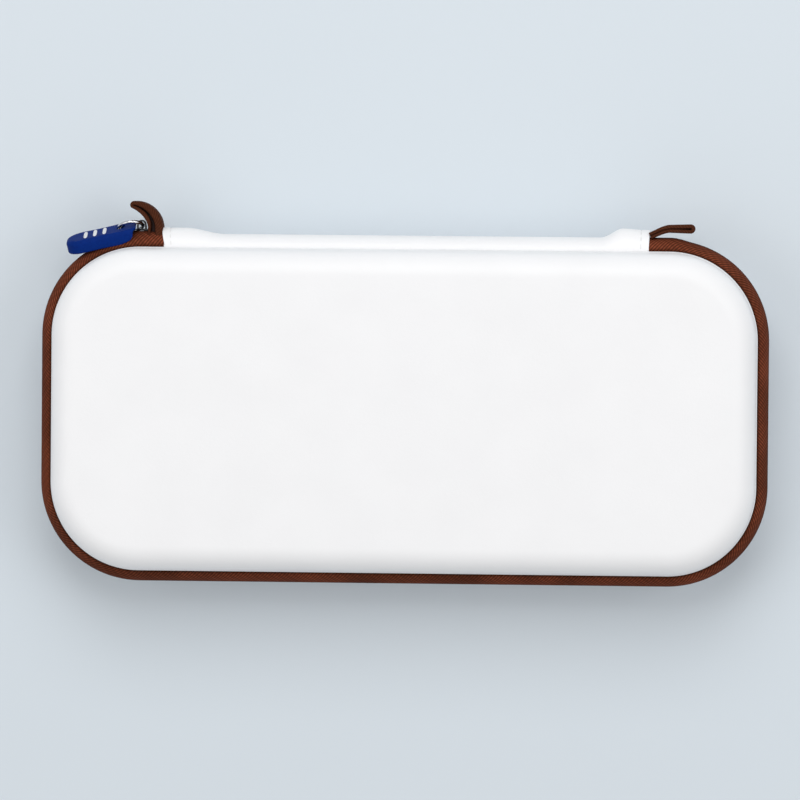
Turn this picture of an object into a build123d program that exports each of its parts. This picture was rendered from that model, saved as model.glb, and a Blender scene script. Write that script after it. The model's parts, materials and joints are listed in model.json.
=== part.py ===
"""Zipped hard case for a handheld game console, closed and lying on its back shell.

Millimetres. +X runs along the hinge spine to the right, +Y points from the case to the spine, and +Z
points out of the front face. The origin is the centre of the flat back face.
"""
import os
from math import cos, radians, sin, tan

from build123d import *

os.makedirs("parts", exist_ok=True)

# Outside of the case
case_length = 262.0  # X, over the zip band
case_width = 124.7  # Y, over the zip band
case_depth = 42.0  # Z, back face to front face
corner_radius = 36.0  # plan corner of the zip band
band_depth = 14.0  # gap between the two rims, filled by the zip band
band_overhang = 4.3  # zip band beyond the rims

# Half shells and their linings
shell_wall = 3.5
wall_draft = 4.0  # degrees
face_round = 9.0  # outer radius between face and wall
lining_thickness = 0.8

# Zip tapes, coils and the bindings that cover the seam inside
tape_thickness = 1.0
tape_margin = 3.5  # flat part sewn on the rim
zip_slit = 0.6  # between the edges of the two tapes
coil_height = 1.3
coil_width = 1.8
coil_gap = 0.4  # inside of the tape to the coil
coil_from_slit = 0.1
binding_thickness = 0.8
binding_on_margin = 2.3
binding_on_lining = 5.0

# Hinge spine and gusset
spine_from_corner = 7.2  # straight zip between each end of the spine and the corner
spine_thickness = 1.2
spine_rise = 0.7  # middle of the spine above the zip band
spine_flare = 2.35  # ends of the spine above its middle
flare_flat = 11.0  # raised length at each end
flare_ramp = 10.0  # length of the slope down to the middle
ramp_stations = 5  # sections through that slope
fold_gap = 0.3  # spine body to the rims
gusset_thickness = 0.8
gusset_depth = 1.9  # below the rim edge
gusset_end_gap = 2.0

# Joined zip ends beside the spine
zip_end_angle = 25.0  # degrees into the corner
zip_end_gap = 0.3
post_clearance = 0.2  # slider post to the tape edges

# Zip tails: folded tape loops at the two ends of the spine
tail_width = 10.0
tail_layer = 1.4
tail_clearance = 0.25
left_tail_thickness = 4.0
left_tail_straight = 4.3
left_tail_radius = 7.0
left_tail_turn = 92.0  # degrees
right_tail_thickness = 3.6
right_tail_radius = 19.0
right_tail_turn = 42.0  # degrees
right_tail_end_angle = 79.0  # degrees
right_tail_top = 3.45  # middle of the loop above the zip band
right_tail_reach = 12.9  # highest point beyond the spine end

# Slider
slider_nose = 4.0  # nose from the spine end
slider_length = 9.0
slider_nose_width = 7.6
slider_rear_width = 4.8
slider_corner = 1.2
slider_plate = 1.0
slider_gap = 0.3
inner_plate_gap = 0.6  # coil to the inner plate
inner_plate_length = 6.8
inner_plate_from_nose = 0.4
flange_thickness = 0.8
flange_height = 0.6
post_thickness = 1.0
post_length = 2.4
post_from_nose = 0.4
bridge_width = 1.6
bridge_thickness = 0.75
bridge_leg = 0.9
bridge_span = 2.9  # clear length between the legs
bridge_height = 4.75  # clear height above the plate
bridge_from_nose = 0.8

# Ring
ring_radius = 4.3  # centre line
ring_wire = 1.3
ring_height = 3.3  # wire centre above the slider plate, in the bridge
ring_tilt = 30.0  # degrees, front edge outwards
ring_slope = 8.0  # degrees, down to the left

# Pull
pull_length = 25.0
pull_width = 12.4
pull_thickness = 4.8
pull_round = 1.3
pull_corner = 4.0
pull_slope = 14.0  # degrees, down to the left
pull_roll = 3.0  # degrees, outer face towards the front
eyelet_web = 1.5
eyelet_from_end = 5.8
eyelet_slot_length = 2.9
eyelet_slot_width = 6.9
eyelet_shift = 0.5  # slot centre towards the end of the pull
eyelet_recess_length = 8.6
eyelet_recess_width = 9.6

# Divider and its card pockets
divider_end_gap = 8.7  # rim to the ends of the divider
divider_side_gap = 9.05  # rim to the long sides of the divider
divider_thickness = 3.0
divider_corner = 24.0
divider_edge = 0.8
divider_edge_width = 4.0
divider_tab_inset = 7.8  # ends of the tab from the ends of the spine
divider_tab_thickness = 0.8
pocket_count = 5  # in each of the two rows
pocket_gap = 5.0
pocket_row_gap = 8.0
pocket_end_margin = 18.0
pocket_side_margin = 11.0
pocket_thickness = 1.2
pocket_seam = 1.6
pocket_backing = 0.5

# Mesh pocket in the front half
mesh_level = 2.0  # above the rim
mesh_thickness = 0.8
mesh_top = 18.0  # Y of the pocket's mouth
mesh_border = 9.0
mesh_hole = 8.0
mesh_pitch = 14.0
mesh_columns = 14
mesh_rows = 4
elastic_width = 8.0
elastic_thickness = 1.8
pocket_clearance = 0.3

# Strap that holds the console down in the back half
strap_width = 38.0
strap_thickness = 1.0
strap_from_rim = 12.05  # ends of the strap from the rim
strap_end = 14.0
strap_tab_start = -6.0
strap_tab_step = 24.0
strap_tab_ramp = 5.0

# Levels and outlines that follow from these
mid_level = case_depth / 2
back_rim = mid_level - band_depth / 2
front_rim = mid_level + band_depth / 2
mid_plane = Plane.XY.offset(mid_level)
band_edge = case_width / 2
rim_edge = band_edge - band_overhang
corner_x = case_length / 2 - corner_radius
corner_y = band_edge - corner_radius
rim_corner = corner_radius - band_overhang
spine_end = corner_x - spine_from_corner
zip_end_start = spine_end + zip_end_gap
lining_inset = shell_wall + lining_thickness
strap_reach = rim_edge - strap_from_rim
divider_length = 2 * (corner_x + rim_corner - divider_end_gap)
divider_width = 2 * (rim_edge - divider_side_gap)
draft_slope = tan(radians(wall_draft))
rim_inset = 1 / cos(radians(wall_draft))
left = -1
right = 1


def rim_outline(inset, depth):
    """Rounded rectangle of the rim, moved inwards by a wall's thickness at a depth below the rim."""
    shrink = inset * rim_inset + depth * draft_slope
    RectangleRounded(2 * (corner_x + rim_corner - shrink), 2 * (rim_edge - shrink), rim_corner - shrink)


def half_form(inset):
    """Solid form of a half shell, moved inwards by inset: drafted walls and a rounded floor."""
    with BuildPart() as form:
        with BuildSketch(Plane(origin=(0, 0, back_rim), x_dir=(1, 0, 0), z_dir=(0, 0, -1))):
            rim_outline(inset, 0)
        extrude(amount=back_rim - inset, taper=wall_draft)
        fillet(form.edges().group_by(Axis.Z)[0], radius=face_round - inset)
    return form.part


def corner_point(side, angle):
    """Point of the rim in a top corner, at an angle in degrees from the top towards the side."""
    turn = radians(angle)
    return (side * (corner_x + rim_corner * sin(turn)), corner_y + rim_corner * cos(turn), 0)


def across(side, angle):
    """Plane across the rim in a top corner, with local x outwards and local y along +Z."""
    turn = radians(angle)
    outward = Vector(side * sin(turn), cos(turn), 0)
    return Plane(origin=corner_point(side, angle), x_dir=outward, z_dir=outward.cross(Vector(0, 0, 1)))


def long_route(angle):
    """Rim from the top left corner round the left, bottom and right sides to the top right corner."""
    sweep_angle = 90 - angle
    CenterArc((-corner_x, corner_y), rim_corner, 90 + angle, sweep_angle)
    Line((-corner_x - rim_corner, corner_y), (-corner_x - rim_corner, -corner_y))
    CenterArc((-corner_x, -corner_y), rim_corner, 180, 90)
    Line((-corner_x, -rim_edge), (corner_x, -rim_edge))
    CenterArc((corner_x, -corner_y), rim_corner, 270, 90)
    Line((corner_x + rim_corner, -corner_y), (corner_x + rim_corner, corner_y))
    CenterArc((corner_x, corner_y), rim_corner, 0, sweep_angle)


def tape_section(foot, slit):
    """Curved part of a zip tape: a quarter of an ellipse from the slit to a foot level."""
    edge = mid_level - slit / 2
    rise = edge - foot
    with BuildLine() as outline:
        EllipticalCenterArc((0, edge), band_overhang, rise, 270, arc_size=90)
        Line((band_overhang, edge), (band_overhang - tape_thickness, edge))
        inner = band_overhang - tape_thickness
        EllipticalCenterArc((0, edge), inner, rise - tape_thickness, 270, arc_size=90)
        Line((0, foot), (0, foot + tape_thickness))
    make_face(outline.edges())


def sewn_margin():
    """Flat part of a zip tape that lies on the rim."""
    with Locations((-tape_margin / 2, back_rim + tape_thickness / 2)):
        Rectangle(tape_margin, tape_thickness)


def coil_section(slit):
    """Row of coil turns on the inner side of the tape, drawn as their envelope."""
    middle = band_overhang - tape_thickness - coil_gap - coil_height / 2
    level = mid_level - slit / 2 - coil_from_slit - coil_width / 2
    with Locations((middle, level)):
        Ellipse(coil_height / 2, coil_width / 2)


def binding_section():
    """Angled strip on the sewn margin that turns down over the edge of the lining."""
    face = -lining_inset * rim_inset
    top = back_rim + tape_thickness
    low = back_rim - binding_on_lining
    drift = binding_on_lining * draft_slope
    rise = (tape_thickness + binding_thickness) * draft_slope
    reach = binding_on_margin - tape_margin
    with BuildLine() as outline:
        Polyline(
            (reach, top),
            (face + tape_thickness * draft_slope, top),
            (face - drift, low),
            (face - drift - binding_thickness, low),
            (face - binding_thickness + rise, top + binding_thickness),
            (reach, top + binding_thickness),
            close=True,
        )
    make_face(outline.edges())


def spine_section(rise):
    """Thin C of the spine: the outer half ellipse stands rise above the zip band."""
    height = band_overhang + rise
    half = band_depth / 2 - fold_gap
    with BuildLine() as outline:
        EllipticalCenterArc((0, mid_level), height, half, 270, arc_size=180)
        inner = half - spine_thickness
        Line((0, mid_level + half), (0, mid_level + inner))
        EllipticalCenterArc((0, mid_level), height - spine_thickness, inner, 270, arc_size=180)
        Line((0, mid_level - half), (0, mid_level - inner))
    make_face(outline.edges())


def spine_plane(x):
    """Plane across the spine with local x outwards from the rim edge and local y along +Z."""
    return Plane(origin=(x, rim_edge, 0), x_dir=(0, 1, 0), z_dir=(1, 0, 0))


def smooth_step(share):
    """Smooth ramp from 0 to 1."""
    return share * share * (3 - 2 * share)


# Back half: shell, lining and the zip sewn to its rim
with BuildPart() as back_shell:
    add(half_form(0))
    add(half_form(shell_wall), mode=Mode.SUBTRACT)

with BuildPart() as back_lining:
    add(half_form(shell_wall))
    add(half_form(lining_inset), mode=Mode.SUBTRACT)

tape_start = zip_end_angle + zip_end_gap / radians(rim_corner)

with BuildPart() as back_zip_tape:
    with BuildLine() as tape_path:
        long_route(tape_start)
    with BuildSketch(across(left, tape_start)):
        tape_section(back_rim, zip_slit)
        sewn_margin()
    sweep(path=tape_path.wire())

with BuildPart() as back_zip_coil:
    with BuildLine() as coil_path:
        long_route(tape_start)
    with BuildSketch(across(left, tape_start)):
        coil_section(zip_slit)
    sweep(path=coil_path.wire())

with BuildPart() as back_binding:
    with BuildLine() as binding_path:
        long_route(tape_start)
    with BuildSketch(across(left, tape_start)):
        binding_section()
    sweep(path=binding_path.wire())

# Front half: the back half's mirror image
with BuildPart() as front_shell:
    add(mirror(back_shell.part, about=mid_plane, mode=Mode.PRIVATE))

with BuildPart() as front_lining:
    add(mirror(back_lining.part, about=mid_plane, mode=Mode.PRIVATE))

with BuildPart() as front_zip_tape:
    add(mirror(back_zip_tape.part, about=mid_plane, mode=Mode.PRIVATE))

with BuildPart() as front_zip_coil:
    add(mirror(back_zip_coil.part, about=mid_plane, mode=Mode.PRIVATE))

with BuildPart() as front_binding:
    add(mirror(back_binding.part, about=mid_plane, mode=Mode.PRIVATE))

# Hinge spine: a thin C with raised ends, lofted through a smooth ramp
flare_start = spine_end - flare_flat - flare_ramp
end_height = band_overhang + spine_rise + spine_flare
with BuildPart() as hinge_spine:
    for station in range(ramp_stations):
        share = station / (ramp_stations - 1)
        with BuildSketch(spine_plane(flare_start + share * flare_ramp)):
            spine_section(spine_rise + spine_flare * smooth_step(share))
    loft()
    with BuildSketch(spine_plane(flare_start + flare_ramp)):
        spine_section(spine_rise + spine_flare)
    extrude(amount=flare_flat)
    with BuildSketch(spine_plane(spine_end - spine_thickness)):
        with Locations((0, mid_level)):
            Ellipse(end_height, band_depth / 2 - fold_gap)
        with Locations((-end_height / 2, mid_level)):
            Rectangle(end_height, band_depth, mode=Mode.SUBTRACT)
    extrude(amount=spine_thickness)
    with BuildSketch(spine_plane(0)):
        spine_section(spine_rise)
    extrude(amount=flare_start)
    mirror(about=Plane.YZ)

# Gusset: the inner fabric of the hinge, a shallow channel with a tab that holds the divider
gusset_half_length = spine_end - gusset_end_gap
gusset_half_width = band_depth / 2 - fold_gap
gusset_floor = rim_edge - gusset_depth
divider_edge_y = divider_width / 2 + divider_edge
with BuildPart() as hinge_gusset:
    with BuildSketch(Plane.XY.offset(mid_level - gusset_half_width)):
        with BuildLine():
            Polyline(
                (-gusset_half_length, gusset_floor - gusset_thickness),
                (gusset_half_length, gusset_floor - gusset_thickness),
                (gusset_half_length, rim_edge),
                (-gusset_half_length, rim_edge),
                close=True,
            )
        make_face()
    extrude(amount=2 * gusset_half_width)
    with BuildSketch(Plane.XY.offset(mid_level - gusset_half_width + gusset_thickness)):
        with Locations((0, gusset_floor + gusset_depth / 2)):
            Rectangle(2 * gusset_half_length, gusset_depth)
    extrude(amount=2 * (gusset_half_width - gusset_thickness), mode=Mode.SUBTRACT)
    tab_reach = gusset_floor - gusset_thickness - divider_edge_y
    with BuildSketch(Plane.XY.offset(mid_level - divider_tab_thickness / 2)):
        with Locations((0, divider_edge_y + tab_reach / 2)):
            Rectangle(2 * (spine_end - divider_tab_inset), tab_reach)
    extrude(amount=divider_tab_thickness)


def joined_zip_end(side):
    """Joined end of the zip beside the spine: both tapes and both coil rows, straight and then curved."""
    end_slit = post_thickness + 2 * post_clearance
    corner_axis = Axis((side * corner_x, corner_y, 0), (0, 0, 1))
    with BuildPart() as half_end:
        with BuildSketch(spine_plane(side * zip_end_start)):
            tape_section(back_rim + fold_gap, end_slit)
            coil_section(end_slit)
        extrude(amount=side * (corner_x - zip_end_start))
        with BuildSketch(spine_plane(side * corner_x)):
            tape_section(back_rim + fold_gap, end_slit)
            coil_section(end_slit)
        revolve(axis=corner_axis, revolution_arc=-side * zip_end_angle)
        mirror(about=mid_plane)
    return half_end.part


with BuildPart() as zip_end_left:
    add(joined_zip_end(left))

with BuildPart() as zip_end_right:
    add(joined_zip_end(right))

# Zip tails: tape folded into a loop at each end of the spine
tail_plane = Plane.XY.offset(mid_level - tail_width / 2)
tail_root = band_edge + tail_clearance


def folded_tape(loop, tip, thickness):
    """Tape folded back on itself along a line: two layers, a slit between them and a round fold."""
    slit = thickness - 2 * tail_layer
    trace(loop, line_width=thickness)
    with Locations(tip):
        Circle(thickness / 2)
    trace(loop, line_width=slit, mode=Mode.SUBTRACT)
    with Locations(tip):
        Circle(slit / 2, mode=Mode.SUBTRACT)


left_tail_x = -spine_end - left_tail_thickness / 2
left_bend = (left_tail_x - left_tail_radius, band_edge + left_tail_straight)
with BuildLine() as left_loop:
    Line((left_tail_x, tail_root), (left_tail_x, left_bend[1]))
    left_curl = CenterArc(left_bend, left_tail_radius, 0, left_tail_turn)

with BuildPart() as zip_tail_left:
    with BuildSketch(tail_plane):
        folded_tape(left_loop.line, left_curl @ 1, left_tail_thickness)
    extrude(amount=tail_width)

right_bend = (spine_end + right_tail_reach, band_edge + right_tail_top - right_tail_radius)
with BuildLine() as right_loop:
    right_curl = CenterArc(right_bend, right_tail_radius, right_tail_end_angle, right_tail_turn)

with BuildPart() as zip_tail_right:
    with BuildSketch(tail_plane):
        folded_tape(right_loop.line, right_curl @ 0, right_tail_thickness)
        with Locations((spine_end, tail_root - right_tail_thickness / 2)):
            Rectangle(2 * right_tail_reach, right_tail_thickness, mode=Mode.SUBTRACT)
    extrude(amount=tail_width)

# Divider between the two halves, with card pockets on its front
divider_low = mid_level - divider_thickness / 2
divider_high = mid_level + divider_thickness / 2
with BuildPart() as divider_panel:
    with BuildSketch(Plane.XY.offset(divider_low)):
        RectangleRounded(divider_length, divider_width, divider_corner)
    extrude(amount=divider_thickness)

with BuildPart() as divider_binding:
    with BuildSketch(Plane.XY.offset(divider_low - divider_edge)):
        grown = 2 * divider_edge
        RectangleRounded(divider_length + grown, divider_width + grown, divider_corner + divider_edge)
        inner_length = divider_length - 2 * divider_edge_width
        inner_width = divider_width - 2 * divider_edge_width
        inner_radius = divider_corner - divider_edge_width
        RectangleRounded(inner_length, inner_width, inner_radius, mode=Mode.SUBTRACT)
    extrude(amount=divider_thickness + 2 * divider_edge)
    add(divider_panel.part, mode=Mode.SUBTRACT)


def card_pockets(row):
    """Row of card pockets: a backing strip with one raised, round-cornered pouch for each card."""
    row_length = divider_length - 2 * pocket_end_margin
    pocket_width = (row_length - (pocket_count - 1) * pocket_gap) / pocket_count
    pocket_height = (divider_width - 2 * pocket_side_margin - pocket_row_gap) / 2
    row_middle = (pocket_row_gap + pocket_height) / 2
    with BuildPart() as pockets:
        with BuildSketch(Plane.XY.offset(divider_high)):
            with Locations((0, row * row_middle)):
                Rectangle(row_length + 2 * pocket_seam, pocket_height + 2 * pocket_seam)
        extrude(amount=pocket_backing)
        with BuildSketch(Plane.XY.offset(divider_high + pocket_backing)):
            with Locations((0, row * row_middle)):
                with GridLocations(pocket_width + pocket_gap, pocket_height, pocket_count, 1):
                    RectangleRounded(pocket_width, pocket_height, pocket_seam)
        extrude(amount=pocket_thickness)
    return pockets.part


with BuildPart() as card_pockets_upper:
    add(card_pockets(1))

with BuildPart() as card_pockets_lower:
    add(card_pockets(-1))

# Mesh pocket across the lower part of the front half, with an elastic mouth
mesh_floor = front_rim + mesh_level
pocket_inset = lining_inset + binding_thickness + pocket_clearance
wall_depth = mesh_level + elastic_thickness
mesh_low = mesh_border - rim_edge + lining_inset
with BuildPart() as mesh_pocket:
    with BuildSketch(Plane.XY.offset(mesh_floor)):
        rim_outline(pocket_inset, wall_depth)
        with Locations((0, mesh_top + case_width / 2)):
            Rectangle(case_length, case_width, mode=Mode.SUBTRACT)
        with Locations((0, (mesh_low + mesh_top) / 2)):
            with GridLocations(mesh_pitch, mesh_pitch, mesh_columns, mesh_rows):
                Rectangle(mesh_hole, mesh_hole, rotation=45, mode=Mode.SUBTRACT)
    extrude(amount=mesh_thickness)

with BuildPart() as pocket_elastic:
    with BuildSketch(Plane.XY.offset(mesh_floor)):
        rim_outline(pocket_inset, wall_depth)
        with Locations((0, mesh_top + elastic_width / 2)):
            Rectangle(case_length, elastic_width, mode=Mode.INTERSECT)
    extrude(amount=elastic_thickness)

# Strap on the floor of the back half, closed by a tab that lies over it
with BuildPart() as console_strap:
    with BuildSketch(Plane.XY.offset(lining_inset)):
        strap_top = strap_tab_step - strap_tab_ramp
        with Locations((0, (strap_top - strap_reach) / 2)):
            Rectangle(strap_width, strap_top + strap_reach)
    extrude(amount=strap_thickness)
    fillet(console_strap.edges().filter_by(Axis.Z).group_by(Axis.Y)[-1], radius=strap_end / 2)

with BuildPart() as strap_tab:
    low = lining_inset
    high = lining_inset + strap_thickness + pocket_clearance
    with BuildSketch(Plane(origin=(-strap_width / 2, 0, 0), x_dir=(0, 1, 0), z_dir=(1, 0, 0))):
        with BuildLine():
            Polyline(
                (strap_tab_start, high),
                (strap_tab_step, high),
                (strap_tab_step + strap_tab_ramp, low),
                (strap_reach, low),
                (strap_reach, low + strap_thickness),
                (strap_tab_step + strap_tab_ramp, low + strap_thickness),
                (strap_tab_step, high + strap_thickness),
                (strap_tab_start, high + strap_thickness),
                close=True,
            )
        make_face()
    extrude(amount=strap_width)
    fillet(strap_tab.edges().filter_by(Axis.Z).group_by(Axis.Y)[0], radius=strap_end / 2)

# Slider: two plates joined by a post in the slit, with a bridge for the ring
nose_x = -spine_end - slider_nose
plate_low = band_edge + slider_gap
plate_high = plate_low + slider_plate
inner_high = band_edge - tape_thickness - coil_gap - coil_height - inner_plate_gap
bridge_right = nose_x - bridge_from_nose
plate_plane = Plane(origin=(0, plate_low, mid_level), x_dir=(1, 0, 0), z_dir=(0, 1, 0))
inner_plane = Plane(origin=(0, inner_high, mid_level), x_dir=(1, 0, 0), z_dir=(0, 1, 0))
with BuildPart() as zip_slider:
    with BuildSketch(plate_plane) as plate_outline:
        with BuildLine():
            Polyline(
                (nose_x, -slider_nose_width / 2),
                (nose_x, slider_nose_width / 2),
                (nose_x - slider_length, slider_rear_width / 2),
                (nose_x - slider_length, -slider_rear_width / 2),
                close=True,
            )
        make_face()
        fillet(plate_outline.vertices(), radius=slider_corner)
    extrude(amount=slider_plate)
    inner_middle = nose_x - inner_plate_from_nose - inner_plate_length / 2
    with BuildSketch(inner_plane):
        with Locations((inner_middle, 0)):
            Rectangle(inner_plate_length, slider_nose_width)
    extrude(amount=-slider_plate)
    with BuildSketch(inner_plane):
        with Locations((inner_middle, 0)):
            with GridLocations(inner_plate_length, slider_nose_width - flange_thickness, 1, 2):
                Rectangle(inner_plate_length, flange_thickness)
    extrude(amount=flange_height)
    with BuildSketch(inner_plane):
        with Locations((nose_x - post_from_nose - post_length / 2, 0)):
            Ellipse(post_length / 2, post_thickness / 2)
    extrude(amount=plate_low - inner_high)
    with BuildSketch(Plane.XY.offset(mid_level - bridge_width / 2)) as bridge:
        bridge_middle = bridge_right - bridge_leg - bridge_span / 2
        with Locations((bridge_middle, plate_high + (bridge_height + bridge_thickness) / 2)):
            Rectangle(bridge_span + 2 * bridge_leg, bridge_height + bridge_thickness)
        fillet(bridge.vertices().group_by(Axis.Y)[-1], radius=bridge_leg)
        with Locations((bridge_middle, plate_high + bridge_height / 2)):
            Rectangle(bridge_span, bridge_height, mode=Mode.SUBTRACT)
    extrude(amount=bridge_width)

# Ring through the bridge
ring_pin = Vector(bridge_middle, plate_high + ring_height, mid_level)
ring_along = Vector(-cos(radians(ring_slope)), -sin(radians(ring_slope)), 0)
ring_out = Vector(-sin(radians(ring_slope)), cos(radians(ring_slope)), 0)
ring_up = ring_out * sin(radians(ring_tilt)) + Vector(0, 0, 1) * cos(radians(ring_tilt))
ring_centre = ring_pin + ring_along * ring_radius
pull_pin = ring_pin + ring_along * (2 * ring_radius)
with BuildPart(Plane(origin=ring_centre, x_dir=ring_along, z_dir=ring_along.cross(ring_up))) as pull_ring:
    Torus(ring_radius, ring_wire / 2)

# Pull: a thick rubber tab, relieved underneath round its eyelet so that the ring can turn
pull_along = Vector(-cos(radians(pull_slope)), -sin(radians(pull_slope)), 0)
pull_out = Vector(-sin(radians(pull_slope)), cos(radians(pull_slope)), 0)
pull_normal = pull_out * cos(radians(pull_roll)) + Vector(0, 0, 1) * sin(radians(pull_roll))
pull_face = Plane(origin=pull_pin, x_dir=pull_along, z_dir=pull_normal)
pull_base = pull_face.offset(eyelet_web / 2 - pull_thickness)
with BuildPart() as zip_pull:
    with BuildSketch(pull_base):
        with Locations((pull_length / 2 - eyelet_from_end, 0)):
            RectangleRounded(pull_length, pull_width, pull_corner)
    extrude(amount=pull_thickness)
    fillet(zip_pull.faces().sort_by(Axis(pull_pin, pull_normal))[-1].edges(), radius=pull_round)
    fillet(zip_pull.faces().sort_by(Axis(pull_pin, pull_normal))[0].edges(), radius=pull_round)
    with BuildSketch(pull_base):
        with Locations((eyelet_recess_length / 2 - eyelet_from_end, 0)):
            Rectangle(eyelet_recess_length, eyelet_recess_width)
    extrude(amount=pull_thickness - eyelet_web, mode=Mode.SUBTRACT)
    with BuildSketch(pull_base):
        with Locations((-eyelet_shift, 0)):
            SlotOverall(eyelet_slot_width, eyelet_slot_length, rotation=90)
    extrude(amount=pull_thickness, mode=Mode.SUBTRACT)

pieces = {
    "back_shell": back_shell,
    "back_lining": back_lining,
    "back_binding": back_binding,
    "back_zip_tape": back_zip_tape,
    "back_zip_coil": back_zip_coil,
    "console_strap": console_strap,
    "strap_tab": strap_tab,
    "front_shell": front_shell,
    "front_lining": front_lining,
    "front_binding": front_binding,
    "front_zip_tape": front_zip_tape,
    "front_zip_coil": front_zip_coil,
    "mesh_pocket": mesh_pocket,
    "pocket_elastic": pocket_elastic,
    "hinge_spine": hinge_spine,
    "hinge_gusset": hinge_gusset,
    "zip_end_left": zip_end_left,
    "zip_end_right": zip_end_right,
    "zip_tail_left": zip_tail_left,
    "zip_tail_right": zip_tail_right,
    "divider_panel": divider_panel,
    "divider_binding": divider_binding,
    "card_pockets_upper": card_pockets_upper,
    "card_pockets_lower": card_pockets_lower,
    "zip_slider": zip_slider,
    "pull_ring": pull_ring,
    "zip_pull": zip_pull,
}
for node, piece in pieces.items():
    piece.part.label = node
    export_step(piece.part, f"parts/{node}.step")

print("fold axes", band_edge, back_rim, front_rim)
print("slider turns about", -corner_x, corner_y)
print("ring pin", ring_pin)
print("pull pin", pull_pin)
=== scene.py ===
import json

import bmesh
import bpy
import numpy as np
from mathutils import Matrix, Vector


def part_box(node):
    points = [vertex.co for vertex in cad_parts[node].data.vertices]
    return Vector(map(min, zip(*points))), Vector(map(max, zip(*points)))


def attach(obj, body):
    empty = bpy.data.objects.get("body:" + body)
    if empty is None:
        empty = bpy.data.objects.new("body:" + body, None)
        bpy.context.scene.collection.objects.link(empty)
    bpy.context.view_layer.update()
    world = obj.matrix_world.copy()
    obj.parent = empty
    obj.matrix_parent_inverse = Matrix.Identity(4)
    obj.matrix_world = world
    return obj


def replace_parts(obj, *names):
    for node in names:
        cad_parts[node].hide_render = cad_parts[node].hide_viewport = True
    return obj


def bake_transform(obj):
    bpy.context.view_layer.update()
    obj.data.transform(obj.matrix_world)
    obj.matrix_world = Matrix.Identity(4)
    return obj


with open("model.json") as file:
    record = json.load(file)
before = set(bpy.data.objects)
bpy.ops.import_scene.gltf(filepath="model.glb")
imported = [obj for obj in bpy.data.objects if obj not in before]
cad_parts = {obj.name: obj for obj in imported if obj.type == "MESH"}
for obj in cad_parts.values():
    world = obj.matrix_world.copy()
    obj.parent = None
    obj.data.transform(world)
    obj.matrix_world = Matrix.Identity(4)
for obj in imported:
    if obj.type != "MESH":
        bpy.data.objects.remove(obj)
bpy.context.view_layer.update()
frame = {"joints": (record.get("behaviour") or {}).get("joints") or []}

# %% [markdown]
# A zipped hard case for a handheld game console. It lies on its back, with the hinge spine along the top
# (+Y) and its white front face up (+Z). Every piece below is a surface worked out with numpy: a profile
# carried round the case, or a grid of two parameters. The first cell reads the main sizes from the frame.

MM = 0.001

rim_x, rim_y, back_rim = np.array(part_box("back_shell")[1])
front_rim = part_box("front_shell")[0][2]
face_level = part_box("front_shell")[1][2]
mid_level = (back_rim + front_rim) / 2
halves = {"back": -1, "front": 1}
rims = {-1: back_rim, 1: front_rim}
band_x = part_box("back_zip_tape")[1][0]
band_overhang = band_x - rim_x
band_y = rim_y + band_overhang
spine_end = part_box("hinge_spine")[1][0]
spine_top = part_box("hinge_spine")[1][1]
corner_radius = 36 * MM
rim_corner = corner_radius - band_overhang
corner_x = rim_x - rim_corner
corner_y = rim_y - rim_corner
joint_place = {joint["name"]: np.array(joint["pos_m"]) for joint in frame["joints"]}
print("case", np.round(2000 * np.array([band_x, band_y, face_level / 2]), 1), "mm")

# %% [markdown]
# A grid of points becomes a mesh in one step. Seams and poles are first written twice, so that the cloth
# coordinates don't jump there, and then welded. A sharp angle keeps its crisp edge. The helpers at the end
# measure a line, build a grid from its parts and close the ends of a tube.

# %% From grids to meshes
weld_distance = 0.002 * MM
crisp_angle = np.radians(50)


def close_mesh(mesh):
    """Weld the doubled seams and poles, and turn all faces outwards."""
    work = bmesh.new()
    work.from_mesh(mesh)
    bmesh.ops.remove_doubles(work, verts=work.verts, dist=weld_distance)
    bmesh.ops.recalc_face_normals(work, faces=work.faces)
    work.to_mesh(mesh)
    work.free()
    mesh.shade_smooth()
    mesh.set_sharp_from_angle(angle=crisp_angle)


def grids(name, points, cloth=None):
    """One object from many equal grids: points has shape (grids, rows, columns, 3).

    cloth holds the lengths along and across the cloth at each point, in metres.
    """
    count, rows, columns = points.shape[:3]
    number = np.arange(count * rows * columns).reshape(count, rows, columns)
    corners = [number[:, :-1, :-1], number[:, :-1, 1:], number[:, 1:, 1:], number[:, 1:, :-1]]
    quads = np.stack(corners, axis=-1).reshape(-1, 4)
    mesh = bpy.data.meshes.new(name)
    mesh.from_pydata(points.reshape(-1, 3).tolist(), [], quads.tolist())
    if cloth is not None:
        layer = mesh.uv_layers.new(name="cloth")
        layer.data.foreach_set("uv", cloth.reshape(-1, 2)[quads.ravel()].astype(np.float32).ravel())
    close_mesh(mesh)
    piece = bpy.data.objects.new(name, mesh)
    bpy.context.scene.collection.objects.link(piece)
    return piece


def surface(name, points, cloth=None):
    """One object from one grid of points with shape (rows, columns, 3)."""
    return grids(name, points[None], None if cloth is None else cloth[None])


def along(line):
    """Length from the first point of a line to each of its points."""
    steps = np.linalg.norm(np.diff(line, axis=0), axis=-1)
    return np.concatenate([[0], np.cumsum(steps)])


def stacked(*parts):
    """Grid of coordinates from parts that may each be constant along some of its sides."""
    return np.stack(np.broadcast_arrays(*parts), axis=-1)


def capped(points):
    """Tube closed at both ends, each on the middle of its end ring."""
    middles = np.repeat(points[[0, -1]].mean(axis=1, keepdims=True), points.shape[1], axis=1)
    return np.concatenate([middles[:1], points, middles[1:]])


def pressed_shut(points):
    """Flat tube closed at both ends, each on the line half way between its two faces."""
    lines = (points[[0, -1], :-1] + points[[0, -1], -2::-1]) / 2
    lines = np.concatenate([lines, lines[:, :1]], axis=1)
    return np.concatenate([lines[:1], points, lines[1:]])


def held(values):
    """Values along a tube, with the first and last one repeated for its closed ends."""
    return np.concatenate([values[:1], values, values[-1:]])


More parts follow.
